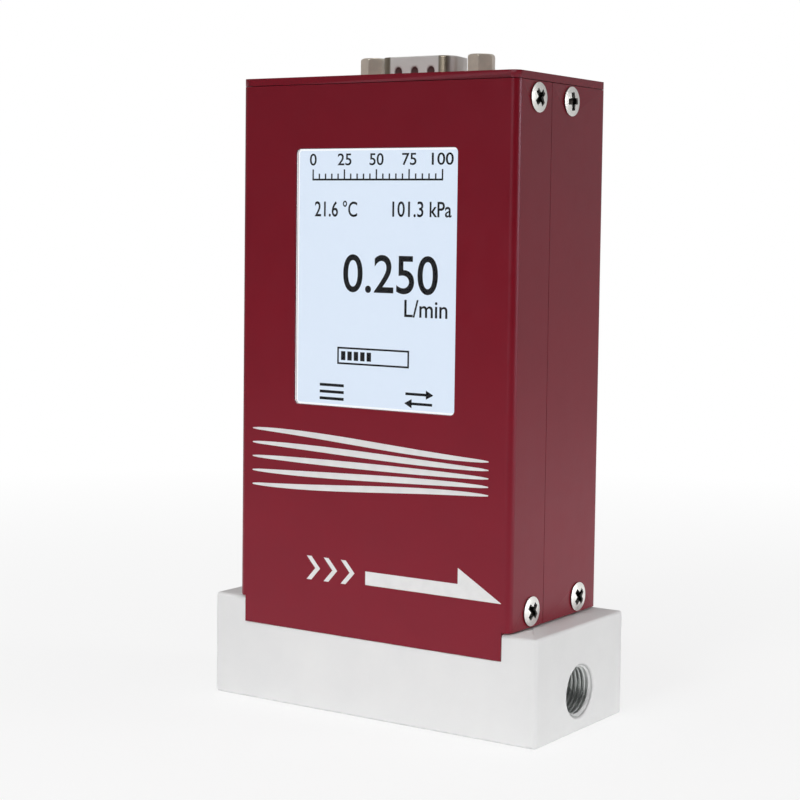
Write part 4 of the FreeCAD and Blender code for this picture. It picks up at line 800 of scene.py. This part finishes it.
def screw_lock(turn):
    """Radius = the smaller of the profile's and the hexagon's, half its flats / cos(angle from a flat).

    Where the profile lies beyond the hexagon, the hexagon alone sets the radius.
    """
    top, foot = jack_high[2], plate_top
    profile = [(0, jack_low[2]), (JACK_STUD, jack_low[2]), (JACK_STUD, foot),
               (BEYOND, foot), (BEYOND, foot + 0.4), (BEYOND, top - 0.60),
               (2.70, top - 0.34), (2.58, top - 0.16), (2.25, top),
               (JACK_BORE + 0.25, top), (JACK_BORE, top - 0.25)]
    for i in range(JACK_RIDGES):
        level = top - 0.3 - i * 0.35
        profile += [(JACK_BORE, level), (JACK_BORE + 0.14, level - 0.17)]
    profile += [(JACK_BORE, top - 4.0), (0, top - 4.0)]
    radius, height = np.array(profile).T[:, :, None]
    angle = np.linspace(0, 2 * math.pi, 73)
    from_flat = (angle + math.pi / 6) % (math.pi / 3) - math.pi / 6
    hexagon = JACK_FLATS / 2 / np.cos(from_flat)
    radius = np.minimum(radius, hexagon)
    return grid_of(radius * np.cos(angle + turn), radius * np.sin(angle + turn), height)


def plated_lock():
    """Yellowish dull plating with turning lines round the lock."""
    finish = Finish("plated_lock", (0.80, 0.72, 0.60), 0.34)
    finish.tint(finish.noise(1.2), (0.74, 0.68, 0.58), (0.84, 0.76, 0.64))
    finish.drive("Metallic", finish.noise(1.5), 0.30, 0.45)
    finish.rough(finish.noise(0.5), 0.28, 0.42)
    finish.raise_by(finish.bands(0.35, "Z", bend=0.5), 0.003)
    return finish.material


locks = [screw_lock(turn) + np.array([JACK_SPACING / 2 * side, CONNECTOR_Y, 0])
         for side, turn in JACK_TURNS.items()]
build("screw_locks", locks, plated_lock(), ("jackscrews",), crease=25)


# %% [markdown]
# The display is a clear pane over a lit panel. The panel glows evenly; a thin ring at its edge glows
# whiter, a painted highlight for the pane's bevelled edge. Both are plates with rounded corners: an
# outline that shrinks ring by ring to its middle.

# %% Pane and lit panel
pane_low, pane_high = box_mm("display_window")
SCREEN_X = (pane_low[0] + pane_high[0]) / 2
SCREEN_Z = (pane_low[2] + pane_high[2]) / 2
PANE_WIDTH = pane_high[0] - pane_low[0]
PANE_HEIGHT = pane_high[2] - pane_low[2]
PANE_FRONT = pane_low[1]
PANE_BACK = pane_high[1]
PANE_CORNER = 0.9
PANE_BEVEL = 0.12
PANE_GAP = 0.12
PANEL_FRONT = PANE_BACK - 0.10
PANEL_BEVEL = 0.01
RIM = 0.35
DOT_PITCH = 0.153


def rounded_plate(inset, corner, front, back, bevel):
    """Closed plate about the screen's middle: its front, a bevel, the wall and its back."""
    half_width, half_height = PANE_WIDTH / 2 - inset, PANE_HEIGHT / 2 - inset
    edge, _ = rounded_path(rectangle(half_width, half_height), corner, steps=8, straight=2)
    inner, _ = rounded_path(rectangle(half_width - bevel, half_height - bevel), corner - bevel,
                            steps=8, straight=2)
    middle = np.zeros_like(edge)
    rings = [(middle, front), (inner, front), (edge, front + bevel), (edge, back), (middle, back)]
    return np.stack([grid_of(SCREEN_X + ring[:, 0], level, SCREEN_Z + ring[:, 1]) for ring, level in rings])


def clear_pane():
    """Clear front pane, very slightly uneven."""
    finish = Finish("display_pane", (0.985, 0.99, 0.995), 0.02, Transmission_Weight=1.0, IOR=1.25)
    finish.rough(finish.noise(6.0), 0.01, 0.03)
    finish.raise_by(finish.noise(4.0), 0.002)
    return finish.material


def lit_panel(name, glow):
    """Lit surface with the faint grid of its picture points."""
    finish = Finish(name, (0.02, 0.02, 0.02), 0.4)
    finish.shader.inputs["Emission Strength"].default_value = 1.0
    dots = finish.bands(DOT_PITCH, "X")
    finish.tint(dots, [0.985 * part for part in glow], glow, 0, 1, socket="Emission Color")
    finish.raise_by(dots, 0.001)
    return finish.material


pane = rounded_plate(0, PANE_CORNER, PANE_FRONT, PANEL_FRONT - PANE_GAP, PANE_BEVEL)
build("display_pane", [pane], clear_pane(), ("display_window",))
# Painted highlight: this ring glows whiter than the panel, standing in for light caught by the pane's
# bevelled edge.
border = rounded_plate(0, PANE_CORNER, PANEL_FRONT + 0.02, PANE_BACK, PANEL_BEVEL)
build("rim_painted_highlight", [border], lit_panel("painted_rim_highlight", (0.93, 0.96, 0.99)))
panel = rounded_plate(RIM, PANE_CORNER - RIM, PANEL_FRONT, PANE_BACK, PANEL_BEVEL)
build("lit_panel", [panel], lit_panel("lit_face", (0.680, 0.775, 0.905)))


# %% [markdown]
# The panel shows readings in dark figures. Blender's text objects give the figures, and each one
# is made a mesh before it is placed. Bars, ticks and arrows are strips between a lower and an
# upper line.

# %% Figures and signs
def flat_strip(lower, upper, front, back):
    """Closed strip between two lines of (x, z) points: a four-cornered section carried along them."""
    lower, upper = np.array(lower, float), np.array(upper, float)
    corners = [(lower, front), (upper, front), (upper, back), (lower, back), (lower, front)]
    tube = np.stack([grid_of(line[:, 0], level, line[:, 1]) for line, level in corners])
    caps = [np.stack([tube[[0, 3], end], tube[[1, 2], end]]) for end in (0, -1)]
    return [tube, *caps]


def bar(x0, x1, z0, z1):
    """Straight dark bar on the display, between two x and two z."""
    return flat_strip([(x0, z0), (x1, z0)], [(x0, z1), (x1, z1)], SIGN_FRONT, SIGN_BACK)


def ink(name, colour, roughness):
    """Thin film of colour, a little uneven."""
    finish = Finish(name, colour, roughness)
    finish.tint(finish.noise(2.0), [0.94 * part for part in colour], colour)
    finish.raise_by(finish.noise(0.2), 0.002)
    return finish.material


dark_figures = ink("dark_figures", (0.004, 0.004, 0.006), 0.6)
dark_figures.node_tree.nodes["Principled BSDF"].inputs["Specular IOR Level"].default_value = 0
white_ink = ink("white_print", (0.86, 0.86, 0.86), 0.5)
SIGN_BACK = PANEL_FRONT + 0.005
SIGN_FRONT = PANEL_FRONT - 0.04
DIGIT_HEIGHT = 0.729


def figures(name, words, height, low, left, right, weight):
    """Text as a mesh, scaled in millimetres to its height and to the room from left to right."""
    curve = bpy.data.curves.new(name, "FONT")
    curve.body = words
    curve.extrude = 0.5
    curve.offset = weight
    curve.resolution_u = 6
    holder = bpy.data.objects.new(name, curve)
    bpy.context.scene.collection.objects.link(holder)
    bpy.context.view_layer.update()
    mesh = bpy.data.meshes.new_from_object(holder.evaluated_get(bpy.context.evaluated_depsgraph_get()))
    bpy.data.objects.remove(holder)
    mesh.name = name
    x, up, depth = (points_mm(mesh) * MM).T
    x = left + (x - x.min()) * (right - left) / (x.max() - x.min())
    y = np.where(depth > 0, SIGN_FRONT, SIGN_BACK)
    placed = grid_of(x, y, low + up * (height / DIGIT_HEIGHT)) * MM
    mesh.vertices.foreach_set("co", placed.astype(np.float32).ravel())
    settle_mesh(mesh, merge=0.0005)
    return seat(name, mesh, dark_figures)


figures("main_reading", "0.250", 7.35, 81.45, left=-7.0, right=14.6, weight=0.008)
figures("temperature_reading", "21.6 °C", 2.95, 95.6, left=-13.9, right=-3.9, weight=0.009)
figures("pressure_reading", "101.3 kPa", 2.95, 95.7, left=4.2, right=17.4, weight=0.009)
figures("reading_unit", "L/min", 3.35, 77.1, left=7.2, right=16.8, weight=0.007)

SCALE_LEFT, SCALE_RIGHT = -14.4, 15.3
SCALE_FOOT, LINE_HALF = 102.7, 0.15
BAR_LEFT, BAR_RIGHT, BAR_LOW, BAR_HIGH, BAR_LINE = -8.2, 8.4, 67.5, 70.8, 0.35


def scale_place(share):
    """Place on the scale from 0 at its left end to 1 at its right end."""
    return SCALE_LEFT + (SCALE_RIGHT - SCALE_LEFT) * share


for step in range(5):
    words = str(step * 25)
    middle, half = scale_place(step / 4), 0.80 * len(words)
    figures(f"scale_figure_{words}", words, 2.3, 105.3, left=middle - half, right=middle + half,
            weight=0.009)

ticks = []
for step in range(21):
    middle = scale_place(step / 20)
    reach = 1.8 if step % 5 == 0 else 1.0
    ticks += bar(middle - LINE_HALF, middle + LINE_HALF, SCALE_FOOT, SCALE_FOOT + reach)
ticks += bar(SCALE_LEFT - LINE_HALF, SCALE_RIGHT + LINE_HALF, SCALE_FOOT - 0.3, SCALE_FOOT + 0.05)
build("scale_ticks", ticks, dark_figures)

inner_low, inner_high = BAR_LOW + BAR_LINE, BAR_HIGH - BAR_LINE
frame_lines = [(BAR_LEFT, BAR_RIGHT, BAR_LOW, inner_low), (BAR_LEFT, BAR_RIGHT, inner_high, BAR_HIGH),
               (BAR_LEFT, BAR_LEFT + BAR_LINE, inner_low, inner_high),
               (BAR_RIGHT - BAR_LINE, BAR_RIGHT, inner_low, inner_high)]
blocks = [(-7.3 + step * 1.5, -6.3 + step * 1.5, 68.3, 70.0) for step in range(5)]
level = [grid for box in frame_lines + blocks for grid in bar(*box)]
build("level_bar", level, dark_figures)

KEY_LEFT, KEY_RIGHT, KEY_LOW, KEY_STEP, KEY_LINE = -12.3, -6.6, 60.5, 1.3, 0.55
ARROW_MIDDLE, ARROW_TAIL, ARROW_NECK, ARROW_TIP, ARROW_LINE = 10.7, 3.0, 1.6, 3.2, 0.5
keys = []
for step in range(3):
    low = KEY_LOW + step * KEY_STEP
    keys += bar(KEY_LEFT, KEY_RIGHT, low, low + KEY_LINE)
for low, way in ((60.7, -1), (62.5, 1)):
    tail, neck, tip = (ARROW_MIDDLE + way * step for step in (-ARROW_TAIL, ARROW_NECK, ARROW_TIP))
    top = low + ARROW_LINE
    keys += flat_strip([(tail, low), (neck, low), (neck, low - 0.6), (tip, low + 0.22)],
                       [(tail, top), (neck, top), (neck, low + 1.1), (tip, low + 0.28)],
                       SIGN_FRONT, SIGN_BACK)
build("key_signs", keys, dark_figures)


# %% [markdown]
# White print on the red cover: an arrow along the flow with half a head, three chevrons before
# it, and a few streamlines that draw together as gas does in front of the element. All of it is
# thin film with real edges, sunk so that it ends flush with the cover's true face.

# %% Print on the front cover
PRINT_FRONT = front_face + 0.005
PRINT_BACK = front_face + PRINT_DEPTH + 0.01
SHAFT_LEFT, SHAFT_RIGHT, SHAFT_LOW, SHAFT_HIGH = -0.6, 20.3, 25.8, 28.4
BARB_HIGH, TIP_X = 31.4, 29.7
arrow_low = [(x, SHAFT_LOW) for x in (SHAFT_LEFT, SHAFT_RIGHT, SHAFT_RIGHT, TIP_X)]
arrow_high = [(SHAFT_LEFT, SHAFT_HIGH), (SHAFT_RIGHT, SHAFT_HIGH), (SHAFT_RIGHT, BARB_HIGH),
              (TIP_X, SHAFT_LOW + 0.1)]
arrow = flat_strip(arrow_low, arrow_high, PRINT_FRONT, PRINT_BACK)
build("flow_arrow", arrow, white_ink)

CHEVRON_LEFT, CHEVRON_STEP, CHEVRON_MIDDLE = -14.6, 4.1, 27.7
CHEVRON_REACH, CHEVRON_HALF, CHEVRON_STROKE = 2.1, 2.3, 1.15
chevron = np.array([(0, -CHEVRON_HALF), (CHEVRON_REACH, 0), (0, CHEVRON_HALF)])
chevrons = []
for step in range(3):
    line = chevron + (CHEVRON_LEFT + step * CHEVRON_STEP, CHEVRON_MIDDLE)
    chevrons += flat_strip(line, line + (CHEVRON_STROKE, 0), PRINT_FRONT, PRINT_BACK)
build("flow_chevrons", chevrons, white_ink)

STREAM_LEFT, STREAM_LENGTH, STREAM_MIDDLE = -28.2, 54.8, 48.4
SPREAD_LEFT, SPREAD_RIGHT = 2.75, 1.55


def streamline(offset):
    """Height = middle + offset x spread, and the spread falls smoothly from left to right."""
    share = np.linspace(0, 1, 40)
    ease = share * share * (3 - 2 * share)
    x = STREAM_LEFT + STREAM_LENGTH * share
    z = STREAM_MIDDLE + offset * (SPREAD_LEFT + (SPREAD_RIGHT - SPREAD_LEFT) * ease)
    half = 0.10 + 0.52 * np.sin(math.pi * share) ** 0.5
    return flat_strip(np.stack([x, z - half], -1), np.stack([x, z + half], -1), PRINT_FRONT, PRINT_BACK)


streams = []
for offset in (-2, -1, 0, 1, 2):
    streams += streamline(offset)
build("streamlines", streams, white_ink)


# %% [markdown]
# Every solid that is still shown as it was measured gets the finish of its slot.

# %% Finishes on the remaining solids
for node, solid in frame["nodes"].items():
    if not solid.hide_render:
        solid.data.materials.clear()
        solid.data.materials.append(inner_finishes[slot_of[node]])
print("solids with a finish of their own:", sum(not solid.hide_render for solid in frame["nodes"].values()))


# %% [markdown]
# A product photo has a white backdrop behind the object and a dim room behind the camera. The
# floor is a pale disc that keeps a faint shadow near the object and turns white further out.
# The world is white for the camera. For reflections and for diffuse light it is brighter behind
# the object than in front, and dimmer overhead. A dark panel to the right of the camera, seen
# only in reflections, draws the darker line along the housing's bend.

# %% Floor and surroundings
FLOOR_RADIUS = 450.0
FLOOR_DROP = 0.02
NEAR_WHITE, NEAR_RADIUS, WHITE_RADIUS = 0.80, 0.06, 0.36


def floor_grid():
    """Disc: rings of growing radius about the middle, turned through a full circle."""
    radius = np.concatenate([[0], np.geomspace(60, FLOOR_RADIUS, 8)])[:, None]
    angle = np.linspace(0, 2 * math.pi, 65)[None, :]
    return grid_of(radius * np.cos(angle), radius * np.sin(angle), -FLOOR_DROP)


floor_mesh = mesh_from("floor", [floor_grid()])
floor = bpy.data.objects.new("floor", floor_mesh)
bpy.context.scene.collection.objects.link(floor)
floor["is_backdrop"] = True


def math_node(tree, operation, first, second):
    """One sum of two numbers or sockets."""
    node = new_node(tree, "Math")
    node.operation = operation
    for index, value in enumerate((first, second)):
        if isinstance(value, (int, float)):
            node.inputs[index].default_value = value
        else:
            tree.links.new(value, node.inputs[index])
    return node.outputs["Value"]


def ray_kinds(tree):
    """Two sockets: 1 for rays from the camera or through glass, and 1 for rays in reflections."""
    path = new_node(tree, "LightPath").outputs
    direct = math_node(tree, "MAXIMUM", path["Is Camera Ray"], path["Is Transmission Ray"])
    return direct, path["Is Glossy Ray"]


floor_finish = Finish("pale_floor", (0.90, 0.90, 0.90), 0.8)
tree = floor_finish.tree
floor_finish.rough(floor_finish.noise(20.0), 0.75, 0.9)
glow = new_node(tree, "Emission", {"Strength": 1.0})
length = new_node(tree, "VectorMath")
length.operation = "LENGTH"
tree.links.new(floor_finish.place, length.inputs[0])
far = ranged(tree, length.outputs["Value"], NEAR_RADIUS, WHITE_RADIUS, NEAR_WHITE, 1.0)
direct, mirrored = ray_kinds(tree)
share = math_node(tree, "MULTIPLY", far, math_node(tree, "MAXIMUM", direct, mirrored))
blend = new_node(tree, "MixShader", Fac=share)
tree.links.new(floor_finish.shader.outputs["BSDF"], blend.inputs[1])
tree.links.new(glow.outputs["Emission"], blend.inputs[2])
tree.links.new(blend.outputs["Shader"], tree.nodes["Material Output"].inputs["Surface"])
floor_mesh.materials.append(floor_finish.material)

world = bpy.data.worlds.new("studio")
bpy.context.scene.world = world
world.use_nodes = True
tree = world.node_tree
tree.nodes.clear()
ROOM_LIGHT = 0.80
BEHIND = (0.545, 0.839, 0)
FLAG = (0.731, -0.682, 0)
direction = new_node(tree, "TexCoord").outputs["Generated"]


def toward(way, start, end, low, high):
    """Smooth step over the cosine between the ray's direction and a way."""
    dot = new_node(tree, "VectorMath")
    dot.operation = "DOT_PRODUCT"
    dot.inputs[1].default_value = way
    tree.links.new(direction, dot.inputs[0])
    return ranged(tree, dot.outputs["Value"], start, end, low, high, smooth=True)


around = toward(BEHIND, -0.7, 0.6, 0.24, 0.55)
overhead = toward((0, 0, 1), 0.0, 0.7, 1.0, 0.45)
sweep = math_node(tree, "MULTIPLY", around, overhead)
flagged = math_node(tree, "MULTIPLY", sweep, toward(FLAG, 0.62, 0.88, 1.0, 0.02))
direct, mirrored = ray_kinds(tree)
reflected = math_node(tree, "MULTIPLY", mirrored, flagged)
shown = math_node(tree, "MINIMUM", math_node(tree, "ADD", direct, mirrored), 1)
diffuse = math_node(tree, "SUBTRACT", 1, shown)
room = math_node(tree, "MULTIPLY", math_node(tree, "MULTIPLY", diffuse, sweep), ROOM_LIGHT)
strength = math_node(tree, "ADD", math_node(tree, "ADD", direct, reflected), room)
background = new_node(tree, "Background", {"Color": (1, 1, 1, 1)},
                      Strength=math_node(tree, "MINIMUM", strength, 1))
new_node(tree, "OutputWorld", Surface=background.outputs["Background"])
print("floor radius in m", FLOOR_RADIUS * MM)


# %% [markdown]
# Four softboxes. The key stands straight in front and a side lamp on the right, a little behind.
# Both have a narrow spread and aim below the floor, so the object grows brighter downwards, as it
# does in the photo. A weak lamp keeps the left side readable, and one overhead lights the block's
# top.

# %% Lamps
def softbox(name, azimuth, elevation, distance, size, watts, aim=0.062, spread=180):
    """Square lamp seen from the object at an angle from the front and a height angle, aimed at a height."""
    a, e = math.radians(azimuth), math.radians(elevation)
    away = Vector((math.sin(a) * math.cos(e), -math.cos(a) * math.cos(e), math.sin(e)))
    lamp = bpy.data.lights.new(name, "AREA")
    lamp.shape = "SQUARE"
    lamp.size = size
    lamp.energy = watts
    lamp.spread = math.radians(spread)
    holder = bpy.data.objects.new(name, lamp)
    bpy.context.scene.collection.objects.link(holder)
    holder.location = Vector((0, 0, aim)) + away * distance
    holder.rotation_mode = "QUATERNION"
    holder.rotation_quaternion = away.to_track_quat("Z", "Y")


softbox("key", 0, 26, 0.9, 0.28, 0.215, aim=-0.065, spread=33)
softbox("side", 112, 14, 0.9, 0.30, 0.17, aim=-0.10, spread=26)
softbox("fill", -80, 25, 1.2, 0.8, 0.6)
softbox("top", -20, 80, 1.2, 0.7, 3.2)


# %% [markdown]
# The camera was found from the straight edges in the photo: where it stands, how it is turned,
# and how long its lens is. The shift puts the lens axis where the fit found it.

# %% Camera
IMAGE = 800
SENSOR = 36
FOCAL_PIXELS = 1871.12
CENTRE_X, CENTRE_Y = 480.0, 350.0
YAW, PITCH_ANGLE, ROLL = (math.radians(angle) for angle in (32.2905, 3.7463, 0.8947))
DISTANCE = 358.762
TARGET = Vector((13.9987, 0, 70.4806))

level_share = math.cos(PITCH_ANGLE)
back = Vector((math.sin(YAW) * level_share, -math.cos(YAW) * level_share, math.sin(PITCH_ANGLE)))
right = Vector((math.cos(YAW), math.sin(YAW), 0))
up = back.cross(right)
rolled_right = right * math.cos(ROLL) + up * math.sin(ROLL)
rolled_up = up * math.cos(ROLL) - right * math.sin(ROLL)
lens = bpy.data.cameras.new("photo_camera")
lens.sensor_width = SENSOR
lens.lens = FOCAL_PIXELS / IMAGE * SENSOR
lens.shift_x = (IMAGE / 2 - CENTRE_X) / IMAGE
lens.shift_y = (CENTRE_Y - IMAGE / 2) / IMAGE
lens.clip_start = 0.01
lens.clip_end = 20
camera = bpy.data.objects.new("photo_camera", lens)
bpy.context.scene.collection.objects.link(camera)
axes = Matrix((rolled_right, rolled_up, back)).transposed().to_4x4()
camera.matrix_world = Matrix.Translation((TARGET + back * DISTANCE) * MM) @ axes
bpy.context.scene.camera = camera
bpy.context.scene.view_settings.view_transform = "Standard"
print("lens in mm", round(lens.lens, 2))


# %% [markdown]
# Last, the difference between the dressed model's box and the solids' box is printed, which shows
# whether the finish changed the object's size.

# %% Sizes and finish
shown_low, shown_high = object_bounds()
growth = [(b - a) / MM for a, b in zip((*solid_low, *solid_high), (*shown_low, *shown_high))]
print("shown minus solids in mm", [round(value, 3) for value in growth])
